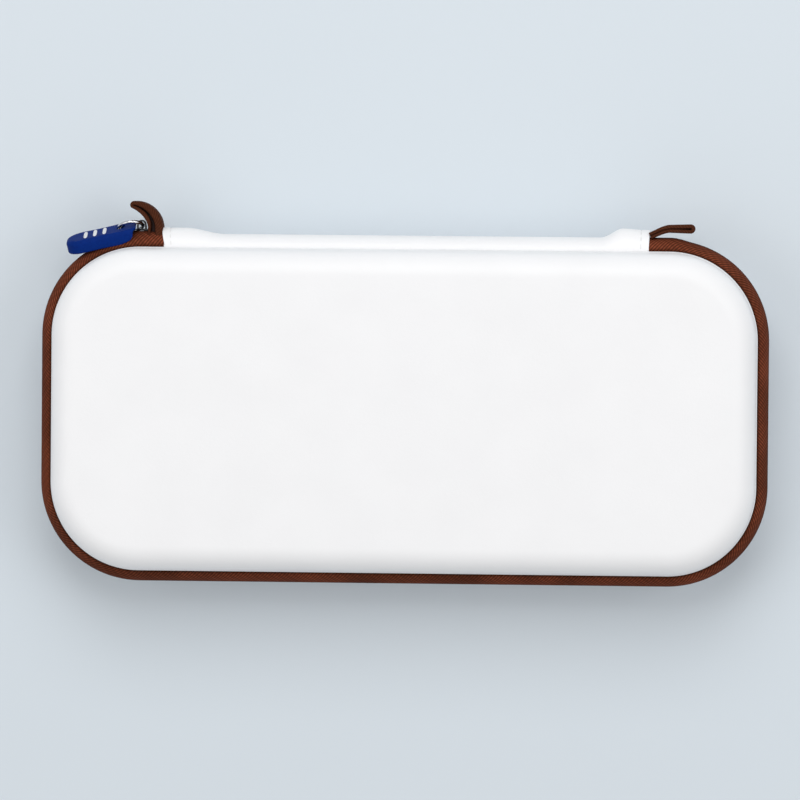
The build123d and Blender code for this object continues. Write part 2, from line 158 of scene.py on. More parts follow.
# %% [markdown]
# The rim of the case is a rectangle with round corners. A skeleton point runs along a smaller rectangle
# and an outward angle turns at its corners, so three interpolations give any place on the rim.

# %% Route round the rim
def round_route(length, skeleton_x, skeleton_y, radius, offset, level):
    """Point at a length round a rounded rectangle from its top middle to the left, moved outwards by offset.

    The skeleton point plus the radius and the offset along the outward angle.
    """
    quarter = radius * np.pi / 2
    half_round = [quarter, 2 * skeleton_y, quarter]
    marks = np.cumsum([0, skeleton_x, *half_round, 2 * skeleton_x, *half_round, skeleton_x])
    x = np.interp(length, marks, skeleton_x * np.array([0, -1, -1, -1, -1, 1, 1, 1, 1, 0]))
    y = np.interp(length, marks, skeleton_y * np.array([1, 1, 1, -1, -1, -1, -1, 1, 1, 1]))
    turn = np.interp(length, marks, np.radians([90, 90, 180, 180, 270, 270, 360, 360, 450, 450]))
    reach = radius + offset
    return stacked(x + reach * np.cos(turn), y + reach * np.sin(turn), level)


def route_length(skeleton_x, skeleton_y, radius):
    """Length once round a rounded rectangle."""
    return 4 * (skeleton_x + skeleton_y) + 2 * np.pi * radius


def on_rim(length, offset, level):
    """Point on the rim of the case."""
    return round_route(length, corner_x, corner_y, rim_corner, offset, level)


rim_length = route_length(corner_x, corner_y, rim_corner)


def corner_length(degrees):
    """Length along the rim at an angle into the top left corner."""
    return corner_x + rim_corner * np.radians(degrees)


print("rim", round(rim_length / MM), "mm round")

# %% [markdown]
# Finishes come first, so that each piece can take its own as it is made. Every finish is one main shader
# with a colour between two tints and a bump, both driven by patterns that are fixed to the piece.

# %% Helpers for finishes
def new_finish(name, roughness, specular=0.5):
    """Material with its node tree, its main shader and a shorthand that adds and links a node."""
    finish = bpy.data.materials.new(name)
    finish.use_nodes = True
    tree = finish.node_tree
    shader = tree.nodes["Principled BSDF"]
    shader.inputs["Roughness"].default_value = roughness
    shader.inputs["Specular IOR Level"].default_value = specular

    def node(kind, settings=None, **links):
        made = tree.nodes.new(kind)
        for key, value in (settings or {}).items():
            if key in made.inputs:
                made.inputs[key].default_value = value
            else:
                setattr(made, key, value)
        for key, source in links.items():
            tree.links.new(source, made.inputs[int(key[1:])] if key[1:].isdigit() else made.inputs[key])
        return made

    return finish, tree, shader, node


def colour_between(tree, node, factor, low, high):
    """Colour that goes from low to high as factor goes from 0 to 1."""
    mix = node("ShaderNodeMix", {"data_type": "RGBA"})
    tree.links.new(factor, mix.inputs["Factor"])
    mix.inputs["A"].default_value = (*low, 1)
    mix.inputs["B"].default_value = (*high, 1)
    return mix.outputs["Result"]


def bump_from(tree, node, height, distance, strength=1.0):
    """Bump whose height of 1 stands for distance metres."""
    made = node("ShaderNodeBump", {"Distance": distance, "Strength": strength})
    tree.links.new(height, made.inputs["Height"])
    return made.outputs["Normal"]


# %% [markdown]
# The white skin is a smooth synthetic leather: a fine pebble of cells under a faint, wide mottling. Object
# coordinates are metres, so a scale of 1100 makes cells of about a millimetre.

# %% White synthetic leather
def leather_finish(name, low, high, grain):
    """Leather: round grain cells and fine pores as bump, and a faint mottling of the colour."""
    finish, tree, shader, node = new_finish(name, 0.46, 0.4)
    place = node("ShaderNodeTexCoord").outputs["Object"]
    mottle = node("ShaderNodeTexNoise", {"Scale": 45.0, "Detail": 3.0}, Vector=place)
    tint = colour_between(tree, node, mottle.outputs["Fac"], low, high)
    tree.links.new(tint, shader.inputs["Base Color"])
    cells = node("ShaderNodeTexVoronoi", {"Scale": grain, "feature": "SMOOTH_F1"}, Vector=place)
    pores = node("ShaderNodeTexNoise", {"Scale": 3 * grain, "Detail": 2.0}, Vector=place)
    height = node("ShaderNodeMath", {"operation": "ADD"}, _0=cells.outputs["Distance"])
    tree.links.new(pores.outputs["Fac"], height.inputs[1])
    tree.links.new(bump_from(tree, node, height.outputs[0], 0.03 * MM, 0.6), shader.inputs["Normal"])
    return finish


white_leather = leather_finish("white_leather", (0.86, 0.86, 0.87), (0.91, 0.91, 0.92), 1100.0)

# %% [markdown]
# Zip tape is woven as a twill: ridges of yarn that run across it on a slant. The pattern reads the cloth
# coordinates of the piece, so it follows the band round every corner. One wave makes the ridges, and a
# second one along them makes the single yarn floats. The grooves between the ridges are painted darker as
# shade, and so are stretches of the girth where the cloth lies in a crease or curves away.

# %% Woven cloth
def woven_finish(name, groove, lit_ridge, pitch, slant, float_length, depth, painted_shades=()):
    """Twill: a sine across slanted ridges times a softer sine along them gives height and colour, and the
    colour is painted darker in the grooves as shade.

    Each painted shade is a stretch of the girth, from one place to another, and how light the yarn is
    painted at each.
    """
    finish, tree, shader, node = new_finish(name, 0.9, 0.08)
    cloth = node("ShaderNodeUVMap", {"uv_map": "cloth"}).outputs["UV"]
    turned = node("ShaderNodeMapping", {"Rotation": (0, 0, slant)}, Vector=cloth)
    parts = node("ShaderNodeSeparateXYZ", Vector=turned.outputs["Vector"])
    waves = []
    full_swing = {"From Min": -1.0, "From Max": 1.0}
    for axis, length in (("Y", pitch), ("X", float_length)):
        phase = node("ShaderNodeMath", {"operation": "MULTIPLY"}, _0=parts.outputs[axis])
        phase.inputs[1].default_value = 2 * np.pi / length
        wave = node("ShaderNodeMath", {"operation": "SINE"}, _0=phase.outputs[0])
        waves.append(node("ShaderNodeMapRange", full_swing, Value=wave.outputs[0]).outputs[0])
    floats = node("ShaderNodeMapRange", {"To Min": 0.55}, Value=waves[1]).outputs[0]
    height = node("ShaderNodeMath", {"operation": "MULTIPLY"}, _0=waves[0], _1=floats).outputs[0]
    fuzz = node("ShaderNodeTexNoise", {"Scale": 2500.0, "Detail": 3.0}, Vector=cloth).outputs["Fac"]
    worn = node("ShaderNodeTexNoise", {"Scale": 60.0, "Detail": 2.0}, Vector=cloth).outputs["Fac"]
    yarn = node("ShaderNodeMath", {"operation": "MULTIPLY_ADD"}, _0=fuzz, _2=height)
    yarn.inputs[1].default_value = 0.35
    shade = node("ShaderNodeMath", {"operation": "MULTIPLY"}, _0=yarn.outputs[0], _1=worn)
    lift = node("ShaderNodeMapRange", {"From Min": 0.05, "From Max": 0.6}, Value=shade.outputs[0]).outputs[0]
    girth = node("ShaderNodeSeparateXYZ", Vector=cloth).outputs["Y"]
    # Painted shade: each stretch of the girth darkens the yarn colour where the cloth lies in a crease or
    # curves away.
    for start, end, first, last in painted_shades:
        ends = {"From Min": start, "From Max": end, "To Min": first, "To Max": last}
        light = node("ShaderNodeMapRange", ends, Value=girth).outputs[0]
        lift = node("ShaderNodeMath", {"operation": "MULTIPLY"}, _0=lift, _1=light).outputs[0]
    # Painted shade: the colour goes from the groove tint to the ridge tint with the yarn height, so the
    # grooves are darker as shade; the fuzz and worn noise add random tone of the yarn itself.
    tree.links.new(colour_between(tree, node, lift, groove, lit_ridge), shader.inputs["Base Color"])
    tree.links.new(bump_from(tree, node, yarn.outputs[0], depth), shader.inputs["Normal"])
    return finish


# Yarn tints: the groove tint is the yarn in painted shade, the ridge tint the lit yarn.
shaded_groove_tint = (0.050, 0.014, 0.006)
lit_ridge_tint = (0.235, 0.058, 0.027)
# Painted shade on the tape: darker at its foot, in the crease by the rim, and towards the slit, where its
# edge curves away.
tape_painted_shades = ((3.6 * MM, 5.0 * MM, 0.25, 1.0), (9.2 * MM, 11.2 * MM, 1.0, 0.28))
zip_cloth = woven_finish(
    "zip_cloth", shaded_groove_tint, lit_ridge_tint, 0.92 * MM, np.radians(48), 2.0 * MM, 0.18 * MM, tape_painted_shades
)
# The tail's ridge tint is its lit yarn; its grooves take the same painted shade.
tail_lit_ridge_tint = (0.098, 0.031, 0.015)
tail_cloth = woven_finish(
    "tail_cloth", shaded_groove_tint, tail_lit_ridge_tint, 0.85 * MM, np.radians(50), 1.9 * MM, 0.12 * MM
)

# %% [markdown]
# Metal, rubber, coil plastic and the cloths inside each need only a small change of colour, roughness and
# bump to look like themselves close up.

# %% Plain finishes with fine detail
def grained_finish(name, low, high, rough, scale, depth, metallic=0.0, specular=0.5, sheen=0.0):
    """Colour and bump from one noise: fine scratches, moulding grain or brushed fibres by its scale."""
    finish, tree, shader, node = new_finish(name, rough, specular)
    shader.inputs["Metallic"].default_value = metallic
    shader.inputs["Sheen Weight"].default_value = sheen
    place = node("ShaderNodeTexCoord").outputs["Object"]
    grain = node("ShaderNodeTexNoise", {"Scale": scale, "Detail": 4.0}, Vector=place).outputs["Fac"]
    tree.links.new(colour_between(tree, node, grain, low, high), shader.inputs["Base Color"])
    tree.links.new(bump_from(tree, node, grain, depth), shader.inputs["Normal"])
    return finish


dark_metal = grained_finish(
    "dark_metal", (0.045, 0.046, 0.048), (0.10, 0.10, 0.105), 0.3, 1500, 0.01 * MM, metallic=1.0
)
bright_metal = grained_finish(
    "bright_metal", (0.62, 0.62, 0.63), (0.82, 0.82, 0.83), 0.22, 1500, 0.01 * MM, metallic=1.0
)
blue_rubber = grained_finish(
    "blue_rubber", (0.001, 0.014, 0.130), (0.001, 0.026, 0.200), 0.6, 1200, 0.02 * MM, specular=0.06
)
white_paint = grained_finish(
    "white_paint", (0.74, 0.75, 0.76), (0.84, 0.85, 0.86), 0.5, 900, 0.01 * MM
)
coil_plastic = grained_finish(
    "coil_plastic", (0.010, 0.003, 0.002), (0.030, 0.009, 0.006), 0.45, 900, 0.01 * MM, specular=0.2
)
white_thread = grained_finish(
    "white_thread", (0.70, 0.70, 0.70), (0.86, 0.86, 0.85), 0.8, 6000, 0.03 * MM, sheen=0.2
)
lining_cloth = grained_finish(
    "lining_cloth", (0.030, 0.030, 0.034), (0.060, 0.060, 0.066), 0.95, 2600, 0.12 * MM, sheen=0.4
)
net_cloth = grained_finish(
    "net_cloth", (0.008, 0.008, 0.009), (0.020, 0.020, 0.022), 0.85, 3000, 0.05 * MM, sheen=0.2
)
web_cloth = grained_finish(
    "web_cloth", (0.012, 0.012, 0.013), (0.030, 0.030, 0.032), 0.9, 1800, 0.10 * MM, sheen=0.3
)
edge_cloth = grained_finish(
    "edge_cloth", (0.018, 0.006, 0.004), (0.050, 0.017, 0.011), 0.9, 2200, 0.10 * MM, sheen=0.2
)


def dress(piece, finish, body=None):
    """Give a piece its finish, and let it ride on a body."""
    piece.data.materials.append(finish)
    if body:
        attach(piece, body)
    return piece


print("finishes", len(bpy.data.materials))

# %% [markdown]
# Each half shell is a pressed tray under leather. Its section has a turned lip at the rim, a wall that
# leans in by the draft angle, a large round and a flat face. The section is carried round the rim, and the
# face shrinks to its middle. The inside follows at the thickness of the wall, so the piece is closed.

# %% Half shells
wall_draft = np.radians(4)
face_round = 9 * MM
shell_wall = 3.5 * MM
lip_bulge = 0.25 * MM
lip_height = 1.3 * MM
face_crown = 0.4 * MM
shell_height = back_rim
round_height = shell_height - face_round
round_inset = round_height * np.tan(wall_draft) + face_round / np.cos(wall_draft)


def shell_section(thickness):
    """Inset and height of one side of the shell from the rim to the face, offset inwards by thickness."""
    lip_part = np.linspace(0, lip_height, 9)
    wall_height = np.concatenate([lip_part, np.linspace(lip_height, round_height, 6)[1:]])
    wall_inset = wall_height * np.tan(wall_draft) + thickness / np.cos(wall_draft)
    swing = np.linspace(wall_draft, np.pi / 2, 18)[1:]
    radius = face_round - thickness
    round_part = round_inset - radius * np.cos(swing), round_height + radius * np.sin(swing)
    return np.concatenate([wall_inset, round_part[0]]), np.concatenate([wall_height, round_part[1]])


def half_tray(name, rim_level, side, outer, inner, crown, bulge):
    """Tray of one half: rings of the rim route at each inset and height, then rings shrunk to the middle.

    Its two faces lie at the depths outer and inner in the wall. crown lifts the face, bulge rounds the lip.
    """
    inset, height = shell_section(outer)
    lip = np.clip(1 - height / lip_height, 0, 1)
    inset = inset - bulge * np.sqrt(np.clip(1 - (2 * lip - 1) ** 2, 0, 1))
    shrink = np.linspace(1, 0, 22)[1:]
    inner_inset, inner_height = shell_section(inner)
    face = np.full(len(shrink), round_inset)
    all_inset = np.concatenate([face, inset[::-1], inner_inset, face])
    all_shrink = np.concatenate([shrink[::-1], np.ones(len(inset) + len(inner_inset)), shrink])
    lift = crown * (1 - shrink**2)
    outside = np.concatenate([shell_height - outer + lift[::-1], height[::-1]])
    inside = np.concatenate([inner_height, np.full(len(shrink), shell_height - inner)])
    level = rim_level + side * np.concatenate([outside, inside])
    around = np.linspace(0, rim_length, 481)
    points = on_rim(around[None, :], -all_inset[:, None], level[:, None])
    points[..., :2] *= all_shrink[:, None, None]
    return surface(name, points)


front_skin = half_tray("front_skin", front_rim, 1, 0, shell_wall, face_crown, lip_bulge)
back_skin = half_tray("back_skin", back_rim, -1, 0, shell_wall, 0, lip_bulge)
dress(front_skin, white_leather, "front")
dress(back_skin, white_leather, "back")
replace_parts(front_skin, "front_shell")
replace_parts(back_skin, "back_shell")
print("shells", len(front_skin.data.polygons), "faces each")

# %% [markdown]
# The zip band is two tapes, one sewn on each rim. A tape starts flat on the rim and bends over in a quarter
# of an ellipse to the slit in the middle of the band. The long tape rides with its half. The short ends
# beside the spine are pieces of their own, because they stay joined by the zip when the case opens.

# %% Section of a zip tape
tape_thickness = 1.0 * MM
tape_margin = 3.5 * MM
zip_slit = 0.6 * MM
edge_bulge = 0.15 * MM
valley_depth = 0.7 * MM
valley_width = 0.7 * MM
tape_rise = mid_level - zip_slit / 2 - back_rim


def tape_section():
    """Offset and height round a tape: margin, quarter ellipse to the slit, round edge, and back inside.

    A valley beside the rim makes the tape stand out of its seam like a cord.
    """
    bend = np.linspace(0, np.pi / 2, 26)
    bent = band_overhang * np.sin(bend)
    valley = valley_depth * np.exp(-((bent / valley_width) ** 2))
    outer_offset = np.concatenate([[-tape_margin], bent])
    outer_height = np.concatenate([[0], tape_rise * (1 - np.cos(bend)) + valley])
    inner_offset = np.concatenate([[-tape_margin], (band_overhang - tape_thickness) * np.sin(bend)])
    inner_bend = tape_rise - (tape_rise - tape_thickness) * np.cos(bend) + valley
    inner_height = np.concatenate([[tape_thickness], inner_bend])
    edge_offset = [band_overhang - tape_thickness * share for share in (0.2, 0.8)]
    edge_height = [tape_rise + edge_bulge] * 2
    offset = np.concatenate([outer_offset, edge_offset, inner_offset[::-1], outer_offset[:1]])
    height = np.concatenate([outer_height, edge_height, inner_height[::-1], outer_height[:1]])
    return offset, height


def smooth(share):
    """Smooth ramp from 0 to 1."""
    share = np.clip(share, 0, 1)
    return share * share * (3 - 2 * share)


flare_left = 1.5 * MM
flare_right = 0.8 * MM
flare_from = corner_x + 0.5 * MM
flare_run = 7 * MM


def flare_at(length):
    """Factor by which the band stands out further beside the spine: most at the spine, 1 past the run."""
    left = flare_left * smooth((flare_from + flare_run - length) / flare_run)
    right = flare_right * smooth((flare_from + flare_run - rim_length + length) / flare_run)
    return 1 + (left + right) / band_overhang


slider_parting = 0.4 * MM
parted_to = corner_x + 8.5 * MM
parting_run = 6 * MM


def parted(length):
    """Share by which the two rows are apart: full where the slider runs at the left end, none elsewhere."""
    return smooth((parted_to + parting_run - length) / parting_run)


def zip_tape(name, side, start, end):
    """Tape along a stretch of the rim: its section at each length, with the flare and the parted slit."""
    offset, height = tape_section()
    length = np.linspace(start, end, 2 + int(abs(end - start) / (1.5 * MM)))
    stretched = np.where(offset > 0, offset * flare_at(length)[:, None], offset)
    lowered = 1 - slider_parting * parted(length) / tape_rise
    foot = rims[side]
    points = on_rim(length[:, None], stretched, foot - side * height * lowered[:, None])
    girth = along(np.stack([offset, height], axis=-1))
    return surface(name, pressed_shut(points), stacked(held(length)[:, None], girth))


# %% [markdown]
# The long tapes go from seam to seam round the three sides that open. Their seams lie in the corners beside
# the spine, where the joined zip ends take over.

# %% Zip tapes
seam_angle = 46
seam = corner_length(seam_angle)
tuck = 3.8 * MM
for half, side in halves.items():
    long_tape = zip_tape(f"{half}_long_tape", side, seam, rim_length - seam)
    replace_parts(dress(long_tape, zip_cloth, half), f"{half}_zip_tape")
print("long tapes", len(long_tape.data.polygons), "faces each")

# %% [markdown]
# The zip teeth are turns of a coil: small slanted beads, one beside the other, with the two rows half a
# step apart so that they mesh. Each bead is a rounded superellipsoid of a few dozen faces, and the whole
# row is one array: the rim route takes a length for every point of every bead.

# %% Coil teeth
tooth_pitch = 1.15 * MM
tooth_size = np.array([0.46, 0.62, 1.15]) * MM
tooth_slant = 0.25
mesh_depth = 0.2 * MM
tooth_parting = 0.75 * MM
tooth_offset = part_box("back_zip_coil")[1][0] - rim_x - tooth_size[1]


def coil_row(name, side, start, end):
    """Row of beads: half axes along the rim, outwards and across the slit, with a slant along the rim."""
    spin, lift = np.meshgrid(np.linspace(0, 2 * np.pi, 8), np.linspace(-np.pi / 2, np.pi / 2, 7))
    across = tooth_size[2] * np.sin(lift)
    step = tooth_size[0] * np.cos(lift) * np.cos(spin) + tooth_slant * across
    out = tooth_size[1] * np.cos(lift) * np.sin(spin)
    phase = 0.25 if side > 0 else 0.75
    middles = (np.arange(start // tooth_pitch + 1, end // tooth_pitch) + phase) * tooth_pitch
    places = middles[:, None, None] + step
    level = mid_level + side * (tooth_size[2] - mesh_depth + tooth_parting * parted(places)) + across
    points = on_rim(places, tooth_offset * flare_at(places) + out, level)
    return grids(name, points)


for half, side in halves.items():
    row = coil_row(f"{half}_coil_teeth", side, seam, rim_length - seam)
    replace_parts(dress(row, coil_plastic, half), f"{half}_zip_coil")
print("teeth row", len(row.data.polygons), "faces")

# %% [markdown]
# At the ends of the zip the tapes leave their own half. Each end has a short tape and a row of teeth for
# each half, made like the long ones, riding on no body, with their places baked into their meshes.


def blend_at_end(piece):
    """Bake the piece's placement into its mesh."""
    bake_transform(piece)


ends = {"left": -1, "right": 1}
for end_name, end_side in ends.items():
    near, far = spine_end - tuck, seam
    stretch = (near, far) if end_side < 0 else (rim_length - far, rim_length - near)
    for half, side in halves.items():
        tape = zip_tape(f"{half}_tape_{end_name}", side, *stretch)
        teeth = coil_row(f"{half}_teeth_{end_name}", side, *stretch)
        dress(tape, zip_cloth)
        dress(teeth, coil_plastic)
        blend_at_end(tape)
        blend_at_end(teeth)
        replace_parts(tape, f"zip_end_{end_name}")
        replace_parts(teeth, f"zip_end_{end_name}")
print("zip ends", len(tape.data.polygons), "faces a tape")

# %% [markdown]
# The hinge spine is a strip of the white leather, sewn to both rims over the zip ends. Its section is half
# an ellipse, and its ends stand higher than its middle. It folds along both edges, so it is made as two
# pieces that meet along the crest: one turns from the back to the spine, the other from the front.

# %% Hinge spine
spine_thickness = 1.2 * MM
middle_height = band_overhang + 0.7 * MM
end_height = spine_top - rim_y
left_sag = 0.25 * MM
right_rise = 0.45 * MM
left_lean = 1.6 * MM
right_lean = 0.3 * MM
lean_run = 6 * MM
left_flat = 8.5 * MM
left_ramp = 14 * MM
right_flat = 9.5 * MM
right_ramp = 8 * MM
right_hump = 0.5 * MM
hump_width = 4.5 * MM
seam_from_end = 3.0 * MM
seam_depth = 0.22 * MM
seam_width = 0.35 * MM


def spine_height(x):
    """Height of the crest over the rim: a smooth ramp to each raised end, and a small hump at the right."""
    left = smooth((left_flat + left_ramp - spine_end - x) / left_ramp)
    right = smooth((right_flat + right_ramp - spine_end + x) / right_ramp)
    hump = right_hump * np.exp(-(((x - spine_end + right_flat) / hump_width) ** 2))
    raised = end_height - middle_height
    return middle_height + (raised - left_sag) * left + (raised + right_rise) * right + hump


def spine_lean(x):
    """Step inwards of the sewn foot at each end, because the ends are cut on a slant."""
    left = left_lean * smooth((lean_run - spine_end - x) / lean_run)
    right = right_lean * smooth((lean_run - spine_end + x) / lean_run)
    return left - right


def spine_half(name, side):
    """Half of the spine: quarter ellipses along x, an inner face at the thickness, and walls at the ends."""
    ends_dense = spine_end - np.linspace(0, 6, 31) * MM
    x = np.unique(np.concatenate([np.linspace(-spine_end, spine_end, 201), ends_dense, -ends_dense]))
    swing = np.linspace(0, np.pi / 2, 20)
    groove = seam_depth * np.exp(-(((np.abs(x) - spine_end + seam_from_end) / seam_width) ** 2))
    outer = (spine_height(x) - groove)[:, None] * np.sin(swing)
    inner = (spine_height(x) - spine_thickness)[:, None] * np.sin(swing)
    offset = np.concatenate([outer, inner[:, ::-1], outer[:, :1]], axis=1)
    half_depth = front_rim - mid_level
    outer_level = half_depth * np.cos(swing)
    inner_level = (half_depth - spine_thickness) * np.cos(swing)
    level = mid_level + side * np.concatenate([outer_level, inner_level[::-1], outer_level[:1]])
    inner_x = np.clip(x, -spine_end + spine_thickness, spine_end - spine_thickness)
    columns = [len(swing), len(swing), 1]
    both_x = np.repeat(np.stack([x, inner_x, x], axis=1), columns, axis=1)
    foot_share = 1 - np.sin(np.concatenate([swing, swing[::-1], swing[:1]]))
    both_x = both_x + spine_lean(x)[:, None] * foot_share
    points = stacked(both_x, rim_y + offset, level)
    walls = points[[0, -1]] * np.array([1, 0, 1]) + np.array([0, rim_y, 0])
    return surface(name, pressed_shut(np.concatenate([walls[:1], points, walls[1:]])))


def fold_with(piece):
    """Bake the piece's placement into its mesh."""
    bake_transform(piece)


for half, side in halves.items():
    strip = dress(spine_half(f"spine_{half}_side", side), white_leather)
    fold_with(strip)
    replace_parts(strip, "hinge_spine")
print("spine", len(strip.data.polygons), "faces each side")

# %% [markdown]
# A row of stitches closes each end of the spine. A stitch is a short thread that dips into the leather at
# both ends, so it is a thin tube whose middle rises out of the groove.

# %% Stitches at the ends of the spine
stitch_length = 1.5 * MM
stitch_gap = 0.7 * MM
stitch_step = stitch_length + stitch_gap
thread_radius = 0.2 * MM
arc_factor = 0.75
first_stitch = 0.3


def end_stitches(name, side):
    """Threads round both ends of the spine: tubes along the half ellipse, with tapered tips."""
    half_depth = front_rim - mid_level
    ring = np.linspace(0, 2 * np.pi, 7)
    share = np.linspace(0, 1, 6)
    stations = np.array([-1, 1]) * (spine_end - seam_from_end)
    count = int((end_height + half_depth) * arc_factor / stitch_step)
    first = (np.arange(count) + first_stitch) / count
    swing = (first[:, None] + share * stitch_length / stitch_step / count) * np.pi / 2
    radius = thread_radius * np.sqrt(np.clip(1 - (2 * share - 1) ** 4, 0, 1))
    leaning = spine_lean(stations)[:, None, None, None] * (1 - np.sin(swing))[None, :, :, None]
    x = stations[:, None, None, None] + leaning + radius[:, None] * np.cos(ring)
    rise = spine_height(stations)[:, None, None, None] - seam_depth + radius[:, None] * np.sin(ring)
    offset = rise * np.sin(swing)[None, :, :, None]
    level = mid_level + side * (half_depth + radius[:, None] * np.sin(ring)) * np.cos(swing)[None, :, :, None]
    points = stacked(x, rim_y + offset, level)
    return grids(name, points.reshape(-1, *points.shape[2:]))


for half, side in halves.items():
    threads = dress(end_stitches(f"spine_stitches_{half}", side), white_thread)
    fold_with(threads)
print("stitches", len(threads.data.polygons), "faces each side")

# %% [markdown]
# The ends of the zip are folded back and sewn in beside the spine. Seen from the front, each tail is a loop
# of tape on edge: two layers with a dark slit between them and a round fold at the tip. A flat section is
# carried along a line that goes out on one layer and comes back on the other, round the cut end of the coil.

# %% Strips and folded tape
tail_low, tail_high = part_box("zip_tail_left")
tail_width = tail_high[2] - tail_low[2]
core_lap = 0.3 * MM
core_narrower = 5 * MM


def power(value, exponent):
    """Signed power, for superellipses."""
    return np.sign(value) * np.abs(value) ** exponent


def sideways_of(line):
    """Unit vectors to the right of a flat line."""
    heading = np.gradient(line, axis=0)
    heading /= np.linalg.norm(heading, axis=1, keepdims=True)
    return np.stack([heading[:, 1], -heading[:, 0]], axis=-1)


def flat_strip(name, line, width, thickness, level, order=(0, 1, 2)):
    """Strip along a flat line: a rounded section, its thickness across the line and its width upright.

    order says which of the line's two directions and the width becomes x, y and z.
    """
    turn = np.linspace(0, 2 * np.pi, 33)
    across = power(np.cos(turn), 0.5) / 2
    upright = power(np.sin(turn), 0.2) * width / 2
    thick = np.broadcast_to(thickness, len(line))
    flat = line[:, None, :] + (thick[:, None] * across)[..., None] * sideways_of(line)[:, None, :]
    points = capped(stacked(flat[..., 0], flat[..., 1], level + upright))
    girth = along(np.stack([across * thick.max(), upright], axis=-1))
    return surface(name, points[..., list(order)], stacked(held(along(line))[:, None], girth))


def folded_tape(end_name, middle, width, first, slit):
    """Tape folded back on itself: out along one layer, round the tip and back along the other.

    width is that of the whole fold, first the thickness of the layer on the right of the middle line, and
    slit the gap, which the cut end of the coil fills.
    """
    second = width - first - slit
    right = sideways_of(middle)
    out_line = middle + ((width - first) / 2)[:, None] * right
    back_line = middle - ((width - second) / 2)[:, None] * right
    turn = np.linspace(0, np.pi, 14)[1:-1, None]
    forward = np.array([-right[-1, 1], right[-1, 0]])
    centre = (out_line[-1] + back_line[-1]) / 2
    radius = np.linalg.norm(out_line[-1] - centre)
    tip = centre + radius * (np.cos(turn) * right[-1] + np.sin(turn) * forward)
    tip_layer = np.linspace(first[-1], second[-1], len(tip))
    line = np.concatenate([out_line, tip, back_line[::-1]])
    layers = np.concatenate([first, tip_layer, second[::-1]])
    tail = flat_strip(f"tail_{end_name}", line, tail_width, layers, mid_level)
    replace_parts(dress(tail, tail_cloth, "spine"), f"zip_tail_{end_name}")
    core_end = centre + (slit[-1] / 2 + core_lap) * forward
    core_line = np.concatenate([middle + (width / 2 - first - slit / 2)[:, None] * right, [core_end]])
    core_fill = np.append(slit, slit[-1]) + core_lap
    core = flat_strip(f"tail_core_{end_name}", core_line, tail_width - core_narrower, core_fill, mid_level)
    dress(core, coil_plastic, "spine")
    print("tail", end_name, len(tail.data.polygons), "faces")


# %% [markdown]
# The left tail stands up beside the spine and curls over to the left. It gets narrower to its tip, where the
# two layers are pressed together.

# %% Left tail
left_edge = -spine_end + 0.45 * MM
left_bend = 10 * MM
left_straight = 2.3 * MM
left_turn = np.radians(93)
left_root = 5.4 * MM
left_tip = 2.8 * MM
left_taper = 3.5
left_layer = 0.53
stem_sink = 1.5 * MM
left_slit_tip = 0.2 * MM
left_slit_root = 1.6 * MM
left_slit_taper = 1.2
stem_top = band_y + left_straight
stem = np.linspace(tail_low[1] - stem_sink, stem_top, 12)[:-1]
curl = np.linspace(0, left_turn, 34)
curl_line = np.array([left_edge, stem_top]) + left_bend * stacked(np.cos(curl) - 1, np.sin(curl))
edge_line = np.concatenate([stacked(left_edge, stem), curl_line])
left_share = along(edge_line) / along(edge_line)[-1]
left_width = left_root + (left_tip - left_root) * left_share**left_taper
left_middle = edge_line - (left_width / 2)[:, None] * sideways_of(edge_line)
left_slit = left_slit_tip + left_slit_root * (1 - left_share) ** left_slit_taper
folded_tape("left", left_middle, left_width, left_layer * left_width, left_slit)

# %% [markdown]
# The right tail leaves the spine low down, climbs away from the zip band and then lies level over it. Its
# layers touch, and part only near the tip.

# %% Right tail
right_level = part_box("zip_tail_right")[1][1] - 1.25 * MM
right_drop = 3.15 * MM
right_climb = 10 * MM
right_lead = 2.6 * MM
right_x = spine_end + np.linspace(0.1, 14.7, 44) * MM
right_share = np.linspace(0, 1, len(right_x))
right_y = right_level - right_drop * (1 - smooth((right_x - spine_end + right_lead) / right_climb))
right_width = (2.4 + 0.9 * right_share) * MM
right_slit = (0.04 + 0.4 * right_share**4) * MM
folded_tape("right", stacked(right_x, right_y), right_width, (right_width - right_slit) / 2, right_slit)

# %% [markdown]
# The slider is cast metal: a plate that narrows to its rear, a plate under the tapes, a post between them
# in the slit, and an arched bridge that holds the ring. A plate is a superellipse with a rounded rim.

# %% Zip slider
slider_low, slider_high = (np.array(corner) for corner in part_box("zip_slider"))
slider_gap = flare_left + 0.1 * MM
plate_thickness = 0.6 * MM
plate_half = 2.7 * MM
plate_dome = 0.1 * MM
nose_half_width = 3.0 * MM
rear_half_width = 0.6 * MM
inner_half = 3.4 * MM
inner_middle = slider_high[0] - 3.8 * MM
inner_half_width = (slider_high[2] - slider_low[2]) / 2
inner_low = slider_low[1]
inner_top = inner_low + plate_thickness
plate_power = 0.45


def plate_grid(middle, half_length, low, high, nose, rear, dome):
    """Plate across Y: a superellipse outline whose width runs from rear to nose, rounded over its edge."""
    turn = np.linspace(0, 2 * np.pi, 49)
    ring_share = np.array([0, 0.45, 0.8, 0.93, 1, 1, 0.95, 0.85, 0.5, 0])
    height = np.array([0, 0, 0, 0.05, 0.25, 0.7, 0.9, 1, 1, 1])
    x = half_length * power(np.cos(turn), plate_power)
    width = (nose + rear) / 2 + (nose - rear) / 2 * np.cos(turn)
    z = width * power(np.sin(turn), plate_power)
    y = low + (high - low) * height + dome * np.where(height == 1, 1 - ring_share**2, 0)
    shrink = ring_share[:, None]
    return stacked(middle + x * shrink, y[:, None], mid_level + z * shrink)


